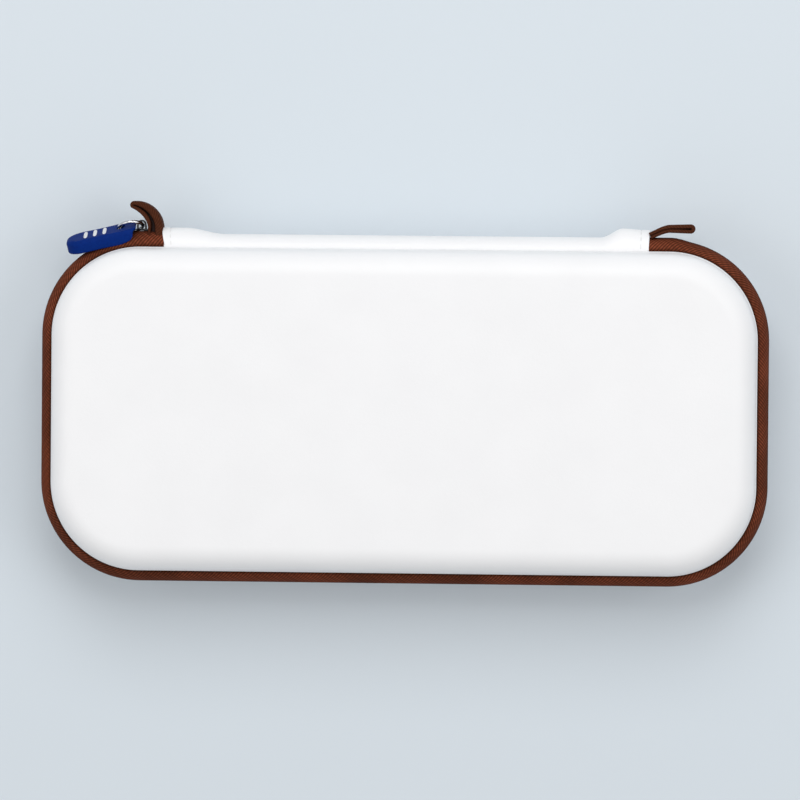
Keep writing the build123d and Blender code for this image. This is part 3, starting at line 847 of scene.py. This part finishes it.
plate_low = band_y + slider_gap
plate_high = plate_low + plate_thickness
plate_middle = slider_high[0] - plate_half
top_plate = surface(
    "slider_plate",
    plate_grid(plate_middle, plate_half, plate_low, plate_high, nose_half_width, rear_half_width, plate_dome),
)
inner_plate = surface(
    "slider_inner_plate",
    plate_grid(inner_middle, inner_half, inner_low, inner_top, inner_half_width, inner_half_width, 0),
)
ring_drop = 1.0 * MM
wire_radius = 0.65 * MM
ring_room = 0.25 * MM
ring_pin = joint_place["ring_swing"] - np.array([0, ring_drop, 0])
bridge_wire = 0.65 * MM
bridge_width = 1.5 * MM
bridge_feet = ring_pin[0] + np.array([-1.8, 1.15]) * MM
bridge_top = ring_pin[1] + wire_radius + bridge_wire + ring_room
arch = np.linspace(np.pi, 0, 26)
arch_middle = bridge_feet.mean()
arch_x = arch_middle + (bridge_feet[1] - arch_middle) * power(np.cos(arch), 0.7)
arch_y = plate_low + (bridge_top - plate_low) * power(np.sin(arch), 0.6)
bridge = flat_strip("slider_bridge", stacked(arch_x, arch_y), bridge_width, bridge_wire, mid_level)
post_middle = slider_high[0] - 1.6 * MM
post_half = np.array([1.2, 0.45]) * MM
post_lap = 0.3 * MM
post_turn = np.linspace(0, 2 * np.pi, 25)
post_x = post_middle + post_half[0] * np.cos(post_turn)
post_z = mid_level + post_half[1] * np.sin(post_turn)
post_rows = np.array([inner_top - post_lap, plate_low + post_lap])
post = surface("slider_post", capped(stacked(post_x, post_rows[:, None], post_z)))
for part in (top_plate, inner_plate, bridge, post):
    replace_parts(dress(part, dark_metal, "slider"), "zip_slider")
print("slider plate", len(top_plate.data.polygons), "bridge", len(bridge.data.polygons), "faces")

# %% [markdown]
# The ring is bent wire with a butt joint, so its wire is thinned over a hair's width at one place. It is a
# circle carried round a circle, on three directions of its own: along the zip, up and out of its plane.

# %% Ring
ring_radius = 4.3 * MM
ring_slope = np.radians(8)
ring_tilt = np.radians(23)
ring_along = np.array([-np.cos(ring_slope), -np.sin(ring_slope), 0])
ring_out = np.array([-np.sin(ring_slope), np.cos(ring_slope), 0])
ring_up = ring_out * np.sin(ring_tilt) + np.array([0, 0, 1]) * np.cos(ring_tilt)
ring_face = np.cross(ring_along, ring_up)
ring_centre = ring_pin + ring_along * ring_radius
hoop, wire = np.meshgrid(np.linspace(0, 2 * np.pi, 121), np.linspace(0, 2 * np.pi, 25), indexing="ij")
joint_angle = 1.9
joint_width = 0.035
joint_thinning = 0.25
thin = wire_radius * (1 - joint_thinning * np.exp(-(((hoop - joint_angle) / joint_width) ** 2)))
reach = ring_radius + thin * np.cos(wire)
hoop_parts = stacked(reach * np.cos(hoop), reach * np.sin(hoop), thin * np.sin(wire))
hoop_points = ring_centre + hoop_parts @ np.array([ring_along, ring_up, ring_face])
ring = surface("wire_ring", hoop_points)
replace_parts(dress(ring, bright_metal, "ring"), "pull_ring")
print("ring", len(ring.data.polygons), "faces")

# %% [markdown]
# The pull is a moulded rubber tab with one eyelet, which makes it a ring as well: each point of its outline
# is joined to a point of the eyelet, over the outer face, down the hole and back under. Its underside is
# hollow, so that it can lie over the zip band and still swing.

# %% Rubber pull
pull_length = 26 * MM
pull_width = 13.4 * MM
pull_thickness = 4.8 * MM
pull_corner = 5.6 * MM
eyelet_corner = 3.2 * MM
pull_round = 1.6 * MM
foot_round = 0.7 * MM
pull_top = 0.75 * MM
web_low = -0.2 * MM
eyelet_from_end = 6.1 * MM
eyelet_half = np.array([1.45, 3.45]) * MM
eyelet_shift = 0.5 * MM
eyelet_edge = 0.25 * MM
recess_middle = np.array([2.75, 0]) * MM
recess_half = np.array([10.75, 6.1]) * MM
recess_edge = 0.8 * MM
swing_room = 0.25
pull_slope = np.radians(13)
pull_roll = np.radians(14)
pull_drop = 1.6 * MM
pull_forward = 1.4 * MM
pull_along = np.array([-np.cos(pull_slope), -np.sin(pull_slope), 0])
pull_out = np.array([-np.sin(pull_slope), np.cos(pull_slope), 0])
pull_normal = pull_out * np.cos(pull_roll) + np.array([0, 0, 1]) * np.sin(pull_roll)
pull_across = np.cross(pull_normal, pull_along)
pull_middle = pull_length / 2 - eyelet_from_end
outline_steps = 40


def rounded_outline(turn, half_length, half_width, corner):
    """Rounded rectangle at polar angles: each ray is stretched step by step until it ends on the outline."""
    ray = np.stack([np.cos(turn), np.sin(turn)], axis=-1)
    box = np.stack([half_length - corner, half_width - corner], axis=-1)
    reach = 0.5 * (half_length + half_width) * np.ones(len(turn))
    for _ in range(outline_steps):
        outside = np.maximum(np.abs(ray * reach[:, None]) - box, 0)
        inside = np.minimum(np.max(np.abs(ray * reach[:, None]) - box, axis=1), 0)
        reach = reach - (np.linalg.norm(outside, axis=1) + inside - corner)
    return ray * reach[:, None]


def pull_place(flat, height):
    """Point of the pull from its own length and width coordinates and its height over the pin."""
    place = joint_place["pull_swing"] - pull_drop * pull_out + np.array([0, 0, pull_forward])
    place = place + flat[..., :1] * pull_along + flat[..., 1:] * pull_across
    return place + height[..., None] * pull_normal


def pull_underside(flat):
    """Height of the lower face: cut back towards the eyelet end, and deep in the recess over the zip band."""
    lowest = pull_top - pull_thickness + swing_room * np.clip(-flat[..., 0], 0, None)
    relief = (np.abs(flat - recess_middle) - recess_half).max(axis=-1)
    deep = smooth(0.5 - relief / recess_edge)
    return lowest + (web_low - lowest) * deep


def pull_surface(name):
    """Tab with an eyelet: rows go from the eyelet's upper edge over the rim and back to its lower edge."""
    turn = np.linspace(0, 2 * np.pi, 161)
    corner = np.where(np.cos(turn) < 0, eyelet_corner, pull_corner)
    rim = rounded_outline(turn, pull_length / 2, pull_width / 2, corner) + np.array([pull_middle, 0])
    hole = rounded_outline(turn, *eyelet_half, eyelet_half[0]) - np.array([eyelet_shift, pull_forward])
    outward = rim - rim.mean(axis=0)
    outward /= np.linalg.norm(outward, axis=1, keepdims=True)
    shoulder, foot = rim - pull_round * outward, rim - foot_round * outward
    face_share = np.concatenate([[0, 0.03], np.linspace(0.08, 1, 22)])[:, None, None]
    hole_round = np.where(face_share[..., 0] == 0, eyelet_edge, 0)
    roll = np.linspace(0, np.pi / 2, 8)[:, None]
    depth = (pull_top - pull_underside(rim)) / 2
    top = hole + face_share * (shoulder - hole)
    upper_edge = shoulder + np.sin(roll)[..., None] * (rim - shoulder)
    lower_edge = rim + (1 - np.cos(roll[1:]))[..., None] * (foot - rim)
    bottom = (hole + face_share * (foot - hole))[::-1]
    top_height = np.broadcast_to(pull_top - hole_round, top.shape[:2])
    upper_height = pull_top - np.minimum(pull_round, depth) * (1 - np.cos(roll))
    lower_height = pull_underside(lower_edge) + np.minimum(foot_round, depth) * (1 - np.sin(roll[1:]))
    bottom_height = pull_underside(bottom) + hole_round[::-1]
    flat = np.concatenate([top, upper_edge, lower_edge, bottom, top[:1]])
    height = np.concatenate([top_height, upper_height, lower_height, bottom_height, top_height[:1]])
    return surface(name, pull_place(flat, height))


pull = dress(pull_surface("rubber_pull"), blue_rubber, "pull")
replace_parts(pull, "zip_pull")
print("pull", len(pull.data.polygons), "faces")

# %% [markdown]
# White ribs on the outer face give the thumb a hold. Each one is a low rounded bar, a flattened
# superellipsoid that is half sunk in the rubber.

# %% Grip ribs
rib_middles = np.array([5.5, 9.0, 12.5]) * MM
rib_half = np.array([0.7, 4.2, 0.35]) * MM


def grip_ribs(name):
    """Bars across the pull: half axes along it, across it and out of it."""
    spin, lift = np.meshgrid(np.linspace(0, 2 * np.pi, 41), np.linspace(-np.pi / 2, np.pi / 2, 13))
    length = rib_half[0] * np.cos(lift) * np.cos(spin)
    width = rib_half[1] * power(np.cos(lift), 0.3) * power(np.sin(spin), 0.4)
    flat = stacked(rib_middles[:, None, None] + length, width)
    height = np.broadcast_to(pull_top + rib_half[2] * np.sin(lift), flat.shape[:-1])
    return grids(name, pull_place(flat, height))


ribs = dress(grip_ribs("grip_ribs"), white_paint, "pull")
print("ribs", len(ribs.data.polygons), "faces")

# %% [markdown]
# Inside, a brushed knit lines both trays. It is the same tray as the shell, one wall further in. A binding
# tape hides the seam of lining and zip tape: an L-shaped section carried round the rim.

# %% Linings and bindings
lining_thickness = 0.8 * MM
binding_thickness = 0.8 * MM
binding_line = np.array([[-1.2, 1.4], [-3.9, 1.45], [-4.5, 1.2], [-4.75, 0.5], [-5.1, -5.0]]) * MM
binding_start = corner_length(26)


def resample(line, count):
    """Points at equal steps along a line."""
    place = along(line)
    steps = np.linspace(0, place[-1], count)
    return np.stack([np.interp(steps, place, line[:, axis]) for axis in (0, 1)], axis=-1)


def thickened(line, half_thickness):
    """Closed section round a line: out along its right side and back along its left."""
    puff = half_thickness * sideways_of(line)
    return np.concatenate([line + puff, (line - puff)[::-1], (line + puff)[:1]])


def rim_binding(name, rim_level, side):
    """Binding: a line of offset and height, thickened to a rounded section, carried round the rim."""
    line = resample(binding_line, 24)
    round_ends = np.sqrt(np.clip(1 - np.linspace(-1, 1, len(line)) ** 8, 0, 1))
    section = thickened(line, binding_thickness / 2 * round_ends[:, None])
    length = np.linspace(binding_start, rim_length - binding_start, 420)
    points = capped(on_rim(length[:, None], section[:, 0], rim_level - side * section[:, 1]))
    return surface(name, points, stacked(held(length)[:, None], along(section)))


# Painted shade: the first tint darkens the grooves between the ribs of the binding tape.
edge_tape = woven_finish(
    "edge_tape", (0.015, 0.005, 0.003), (0.090, 0.030, 0.018), 0.8 * MM, np.radians(90), 0.8 * MM, 0.12 * MM
)
for half, side in halves.items():
    level = rims[side]
    cloth_tray = half_tray(f"{half}_knit", level, side, shell_wall, shell_wall + lining_thickness, 0, 0)
    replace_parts(dress(cloth_tray, lining_cloth, half), f"{half}_lining")
    binding = rim_binding(f"{half}_rim_binding", level, side)
    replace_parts(dress(binding, edge_tape, half), f"{half}_binding")
print("lining", len(cloth_tray.data.polygons), "binding", len(binding.data.polygons), "faces each")

# %% [markdown]
# Behind the spine a strip of the same knit closes the hinge. Like the spine, it is two pieces that meet in
# the middle, and each one bends over its own fold. A tab of it holds the divider.

# %% Hinge cloth
gusset_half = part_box("hinge_gusset")[1][0] + 2 * MM
gusset_line = np.array([[-4.0, -1.6], [-3.4, 1.4], [-2.7, 3.5], [-2.5, 7.0]]) * MM
gusset_thickness = 0.8 * MM


def hinge_cloth(name, rim_level, side):
    """Half of the hinge cloth: a bent line across the hinge, thickened and carried along x."""
    section = thickened(resample(gusset_line, 18), gusset_thickness / 2)
    x = np.linspace(-gusset_half, gusset_half, 90)
    points = stacked(x[:, None], rim_y + section[:, 0], rim_level - side * section[:, 1])
    return surface(name, pressed_shut(points))


for half, side in halves.items():
    level = rims[side]
    strip = dress(hinge_cloth(f"hinge_cloth_{half}", level, side), lining_cloth)
    fold_with(strip)
    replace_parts(strip, "hinge_gusset")
print("hinge cloth", len(strip.data.polygons), "faces each side")

# %% [markdown]
# Pads, pouches and flat cloth pieces are all one form: a rounded outline shrunk to its middle, with a
# crowned top. The divider between the halves is such a pad with a sewn line near its edge.

# %% Divider
edge_from = 0.95
sewn_at = 0.91
sewn_width = 0.012


def pad_grid(middle, half_length, half_width, corner, low, high, crown, groove=0.0):
    """Pad: rings of a rounded outline, flat below, rounded at the edge, crowned above with a sewn groove.

    A pad with a groove has it on both faces, and its lower face is crowned as well.
    """
    turn = np.linspace(0, 2 * np.pi, 145)
    outline = rounded_outline(turn, half_length, half_width, corner)
    share = np.concatenate([np.linspace(0, 0.82, 14), np.linspace(0.85, 0.985, 12), [0.995, 1.0]])
    drop = (high - low) / 2 * np.clip((share - edge_from) / (1 - edge_from), 0, 1) ** 2
    sewn = groove * np.exp(-(((share - sewn_at) / sewn_width) ** 2))
    rise = crown * (1 - share**2)
    top = high - drop - sewn + rise
    bottom = low + drop + sewn - rise * (groove > 0)
    all_share = np.concatenate([share, share[-2::-1]])
    level = np.concatenate([top, bottom[-2::-1]])
    flat = middle + all_share[:, None, None] * outline
    return stacked(flat[..., 0], flat[..., 1], level[:, None])


divider_low, divider_high = (np.array(corner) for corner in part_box("divider_panel"))
divider_half = divider_high[:2]
divider_corner = 24 * MM
divider_crown = 0.3 * MM
divider_groove = 0.5 * MM
edging_reach = 2.4 * MM
divider_levels = divider_low[2], divider_high[2]
divider = surface(
    "divider_pad",
    pad_grid(np.zeros(2), *divider_half, divider_corner, *divider_levels, divider_crown, divider_groove),
)
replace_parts(dress(divider, lining_cloth, "spine"), "divider_panel")


def divider_edging(name):
    """Edging of the divider: a superellipse section carried round its outline."""
    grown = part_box("divider_binding")[1]
    turn = np.linspace(0, 2 * np.pi, 29)
    reach = grown[0] - divider_half[0]
    offset = reach - edging_reach + edging_reach * power(np.cos(turn), 0.6)
    level = mid_level + (grown[2] - mid_level) * power(np.sin(turn), 0.6)
    skeleton = divider_half - divider_corner
    length = np.linspace(0, route_length(*skeleton, divider_corner), 421)
    points = round_route(length[:, None], *skeleton, divider_corner, offset[None, :], level[None, :])
    girth = along(np.stack([offset, level], axis=-1))
    return surface(name, points, stacked(length[:, None], girth[None, :]))


edging = dress(divider_edging("divider_edging"), edge_tape, "spine")
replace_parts(edging, "divider_binding")
tab_thickness = 0.8 * MM
tab_inset = 7.8 * MM
tab_corner = 1 * MM
tab_lap = 1 * MM
tab_short = 2.6 * MM
tab_from = divider_half[1] - tab_lap
tab_to = rim_y - tab_short
tab_middle = np.array([0, (tab_from + tab_to) / 2])
tab_half = spine_end - tab_inset, (tab_to - tab_from) / 2
tab_levels = mid_level - tab_thickness / 2, mid_level + tab_thickness / 2
hinge_tab = surface("hinge_tab", pad_grid(tab_middle, *tab_half, tab_corner, *tab_levels, 0))
dress(hinge_tab, lining_cloth, "spine")
print("divider", len(divider.data.polygons), "edging", len(edging.data.polygons), "faces")

# %% [markdown]
# Two rows of card pouches are sewn on the divider. A pouch bulges a little as if it held a card, and its
# mouth has a turned hem.

# %% Card pouches
pouch_count = 5
pouch_gap = 5 * MM
pouch_seam = 1.6 * MM
pouch_bulge = 0.5 * MM
pouch_corner = 3 * MM
pouch_lap = 0.4 * MM
backing_thickness = 0.5 * MM
hem_half = 1.3 * MM
hem_corner = 0.9 * hem_half
hem_longer = 0.3 * MM
hem_crown = 0.2 * MM
for row in ("upper", "lower"):
    low, high = (np.array(corner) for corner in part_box(f"card_pockets_{row}"))
    middle = (low[:2] + high[:2]) / 2
    half = (high[:2] - low[:2]) / 2 - pouch_seam
    pouch_half = (half[0] - (pouch_count - 1) * pouch_gap / 2) / pouch_count
    columns = (np.arange(pouch_count) - (pouch_count - 1) / 2) * (2 * pouch_half + pouch_gap)
    backing = pad_grid(middle, *(half + pouch_seam), pouch_corner, low[2], low[2] + backing_thickness, 0)
    centres = [np.array([column, middle[1]]) for column in columns]
    base = low[2] + pouch_lap
    pouches = [
        pad_grid(spot, pouch_half, half[1], pouch_corner, base, high[2] - pouch_lap, pouch_bulge)
        for spot in centres
    ]
    mouth = np.array([0, half[1] - 2 * hem_half])
    hem_length = pouch_half + hem_longer
    hems = [
        pad_grid(spot + mouth, hem_length, hem_half, hem_corner, base, high[2], hem_crown)
        for spot in centres
    ]
    cards = grids(f"card_pouches_{row}", np.stack([backing, *pouches]))
    dress(cards, web_cloth, "spine")
    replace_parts(cards, f"card_pockets_{row}")
    dress(grids(f"pouch_hems_{row}", np.stack(hems)), edge_cloth, "spine")
print("pouches", len(cards.data.polygons), "faces a row")

# %% [markdown]
# The front half has a pocket of open net under an elastic mouth. The net is two families of slanted threads
# that cross, each one cut where it leaves the pocket, with a hem of tape round its edge.

# %% Net pocket
net_low, net_high = (np.array(corner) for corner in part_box("mesh_pocket"))
net_level = (net_low[2] + net_high[2]) / 2
net_corner = rim_corner - (rim_x - net_high[0])
net_skeleton = np.array([net_high[0], -net_low[1]]) - net_corner
net_pitch = 4.2 * MM
net_thread = 0.28 * MM
thread_slope = np.array([0.6, 0.8])
thread_apart = 0.12 * MM


def in_pocket(x, y):
    """True inside the rounded outline of the net and below its mouth."""
    gap = np.maximum(np.abs(np.stack([x, y])) - net_skeleton[:, None, None], 0)
    return (np.hypot(*gap) < net_corner) & (y < net_high[1])


def net_threads(name):
    """Threads: for each slanted line the first and last sample in the pocket, joined by a thin tube."""
    span = net_high[0] + net_high[1] - net_low[1]
    starts = np.arange(-span, span, net_pitch)
    run = np.linspace(-span, span, 1600)
    ring = np.linspace(0, 2 * np.pi, 7)
    tubes = []
    for slant in (-1, 1):
        x = starts[:, None] + run * thread_slope[0]
        y = slant * run * thread_slope[1] * np.ones_like(x)
        inside = in_pocket(x, y)
        used = inside.sum(axis=1) > 4
        first = run[inside.argmax(axis=1)][used]
        last = run[len(run) - 1 - inside[:, ::-1].argmax(axis=1)][used]
        share = np.linspace(0, 1, 13)
        place = first[:, None] + share * (last - first)[:, None]
        size = net_thread * np.where((share == 0) | (share == 1), 0, 1)
        across = size[:, None] * np.cos(ring)
        px = (starts[used][:, None] + thread_slope[0] * place)[..., None] - slant * thread_slope[1] * across
        py = (slant * thread_slope[1] * place)[..., None] + thread_slope[0] * across
        pz = net_level + slant * thread_apart + size[:, None] * np.sin(ring)
        tubes.append(stacked(px, py, pz))
    return grids(name, np.concatenate(tubes))


net = dress(net_threads("pocket_net"), net_cloth, "front")
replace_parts(net, "mesh_pocket")
net_hem_half = np.array([2.5, 0.5]) * MM
hem_turn = np.linspace(0, 2 * np.pi, 25)
hem_offset = net_hem_half[0] * (power(np.cos(hem_turn), 0.5) - 1)
hem_level = net_level + net_hem_half[1] * power(np.sin(hem_turn), 0.5)
hem_from = net_skeleton[0] + net_corner * np.pi / 2 + net_skeleton[1] - net_high[1]
hem_to = route_length(*net_skeleton, net_corner) - hem_from
hem_run = np.linspace(hem_from, hem_to, 260)[:, None]
hem_points = capped(round_route(hem_run, *net_skeleton, net_corner, hem_offset, hem_level))
dress(surface("net_hem", hem_points), web_cloth, "front")
print("net", len(net.data.polygons), "faces")

# %% [markdown]
# The mouth of the pocket is a gathered elastic: its cloth is longer than its rubber, so it stands in small
# ruffles. The strap that holds the console is webbing, and its tab overlaps it with a fastener.

# %% Elastic, strap and tab
elastic_low, elastic_high = (np.array(corner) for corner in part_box("pocket_elastic"))
elastic_girth = 20 * MM
elastic_inset = 0.3 * MM
ruffle_pitch = 3.2 * MM
ruffle_beat = 7.3 * ruffle_pitch
ruffle_width = 0.12 * MM


def gathered_elastic(name):
    """Elastic: a superellipse section along x, whose height and width wave with the ruffles."""
    x = np.linspace(elastic_low[0] + elastic_inset, elastic_high[0] - elastic_inset, 760)
    turn = np.linspace(0, 2 * np.pi, 33)
    wave = np.sin(2 * np.pi * x / ruffle_pitch) * (1 + 0.3 * np.sin(2 * np.pi * x / ruffle_beat))
    half_y = (elastic_high[1] - elastic_low[1]) / 2 + ruffle_width * wave
    half_z = (elastic_high[2] - elastic_low[2]) / 2 * (0.82 + 0.14 * wave)
    half_y[[0, -1]] = 0
    half_z[[0, -1]] = 0
    y = (elastic_high[1] + elastic_low[1]) / 2 + half_y[:, None] * power(np.cos(turn), 0.35)
    z = (elastic_high[2] + elastic_low[2]) / 2 + half_z[:, None] * power(np.sin(turn), 0.5)
    points = stacked(x[:, None], y, z)
    girth = elastic_girth * turn / (2 * np.pi)
    return surface(name, points, stacked(x[:, None], girth[None, :]))


# Painted shade: the first tint darkens the grooves of the webbing's weave.
webbing = woven_finish(
    "webbing", (0.008, 0.008, 0.009), (0.060, 0.060, 0.066), 1.3 * MM, np.radians(90), 1.0 * MM, 0.2 * MM
)
elastic = dress(gathered_elastic("pocket_mouth"), webbing, "front")
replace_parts(elastic, "pocket_elastic")
strap_low, strap_high = (np.array(corner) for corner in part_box("console_strap"))
tab_low, tab_high = (np.array(corner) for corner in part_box("strap_tab"))
strap_width = strap_high[0] - strap_low[0]
strap_thickness = strap_high[2] - strap_low[2]
strap_order = (2, 0, 1)
tab_fall_from = 29 * MM
tab_fall_run = 5 * MM
strap_level = (strap_low[2] + strap_high[2]) / 2
tab_top = tab_high[2] - strap_thickness / 2
strap_y = np.linspace(strap_low[1], strap_high[1], 60)
strap_line = stacked(strap_y, strap_level)
tab_y = np.linspace(tab_low[1], tab_high[1], 60)
tab_rise = (tab_top - strap_level) * smooth((tab_fall_from - tab_y) / tab_fall_run)
tab_line = stacked(tab_y, strap_level + tab_rise)
for name, line, node_name in (("strap_web", strap_line, "console_strap"), ("tab_web", tab_line, "strap_tab")):
    web = flat_strip(name, line, strap_width, strap_thickness, 0, strap_order)
    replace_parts(dress(web, webbing, "back"), node_name)
print("strap", len(web.data.polygons), "faces")

# %% [markdown]
# A pale floor, one large soft lamp above the spine side, a weaker one at each side and a plain world. The
# large lamp's place gives the soft shade along the lower edge of the case.

# %% Floor and light
pale_floor = grained_finish(
    "pale_floor", (0.66, 0.72, 0.77), (0.68, 0.74, 0.79), 0.9, 6, 0.01 * MM, specular=0.1
)
floor_half = 4.0
floor_corners = floor_half * np.array([[-1, -1, 0], [1, -1, 0], [1, 1, 0], [-1, 1, 0]])
floor_mesh = bpy.data.meshes.new("floor")
floor_mesh.from_pydata(floor_corners.tolist(), [], [(0, 1, 2, 3)])
floor = bpy.data.objects.new("floor", floor_mesh)
bpy.context.scene.collection.objects.link(floor)
floor.data.materials.append(pale_floor)


def soft_lamp(name, place, size, watts):
    """Square area lamp that looks at the middle of the case."""
    lamp = bpy.data.lights.new(name, "AREA")
    lamp.size = size
    lamp.energy = watts
    holder = bpy.data.objects.new(name, lamp)
    look = Vector((0, 0, mid_level)) - Vector(place)
    holder.matrix_world = Matrix.Translation(place) @ look.to_track_quat("-Z", "Y").to_matrix().to_4x4()
    bpy.context.scene.collection.objects.link(holder)


soft_lamp("key", (0.0, 0.85, 1.2), 1.0, 8.6)
soft_lamp("left_fill", (-0.9, 0.0, 1.0), 0.8, 2.3)
soft_lamp("right_fill", (0.9, 0.0, 1.0), 0.8, 3.0)
world = bpy.data.worlds.new("studio")
bpy.context.scene.world = world
world.use_nodes = True
world.node_tree.nodes["Background"].inputs["Color"].default_value = (1.0, 1.0, 1.0, 1)
world.node_tree.nodes["Background"].inputs["Strength"].default_value = 0.53
bpy.context.scene.view_settings.view_transform = "Standard"
print("lamps", len(bpy.data.lights))

# %% [markdown]
# The camera looks almost straight down on the face, a little from the right and from the spine side, from
# far away with a long lens, so that the sides of the case stay parallel.

# %% Camera
camera_distance = 2.5
camera_right = np.radians(3.0)
camera_up = np.radians(2.1)
camera_roll = np.radians(0.5)
image_size = 800
focal_pixels = 6941
aim = Vector((-1.55 * MM, 3.8 * MM, mid_level))
look_from = Vector(
    (np.sin(camera_right) * np.cos(camera_up), np.sin(camera_up), np.cos(camera_right) * np.cos(camera_up))
)
rightwards = Vector((0, 1, 0)).cross(look_from).normalized()
upwards = look_from.cross(rightwards)
lens = bpy.data.cameras.new("camera")
lens.sensor_width = 36
lens.lens = focal_pixels / image_size * lens.sensor_width
camera = bpy.data.objects.new("camera", lens)
eye = aim + camera_distance * look_from
turned = Matrix((rightwards, upwards, look_from)).transposed() @ Matrix.Rotation(camera_roll, 3, "Z")
camera.matrix_world = Matrix.Translation(eye) @ turned.to_4x4()
bpy.context.scene.collection.objects.link(camera)
bpy.context.scene.camera = camera
print("camera at", [round(value, 3) for value in eye])
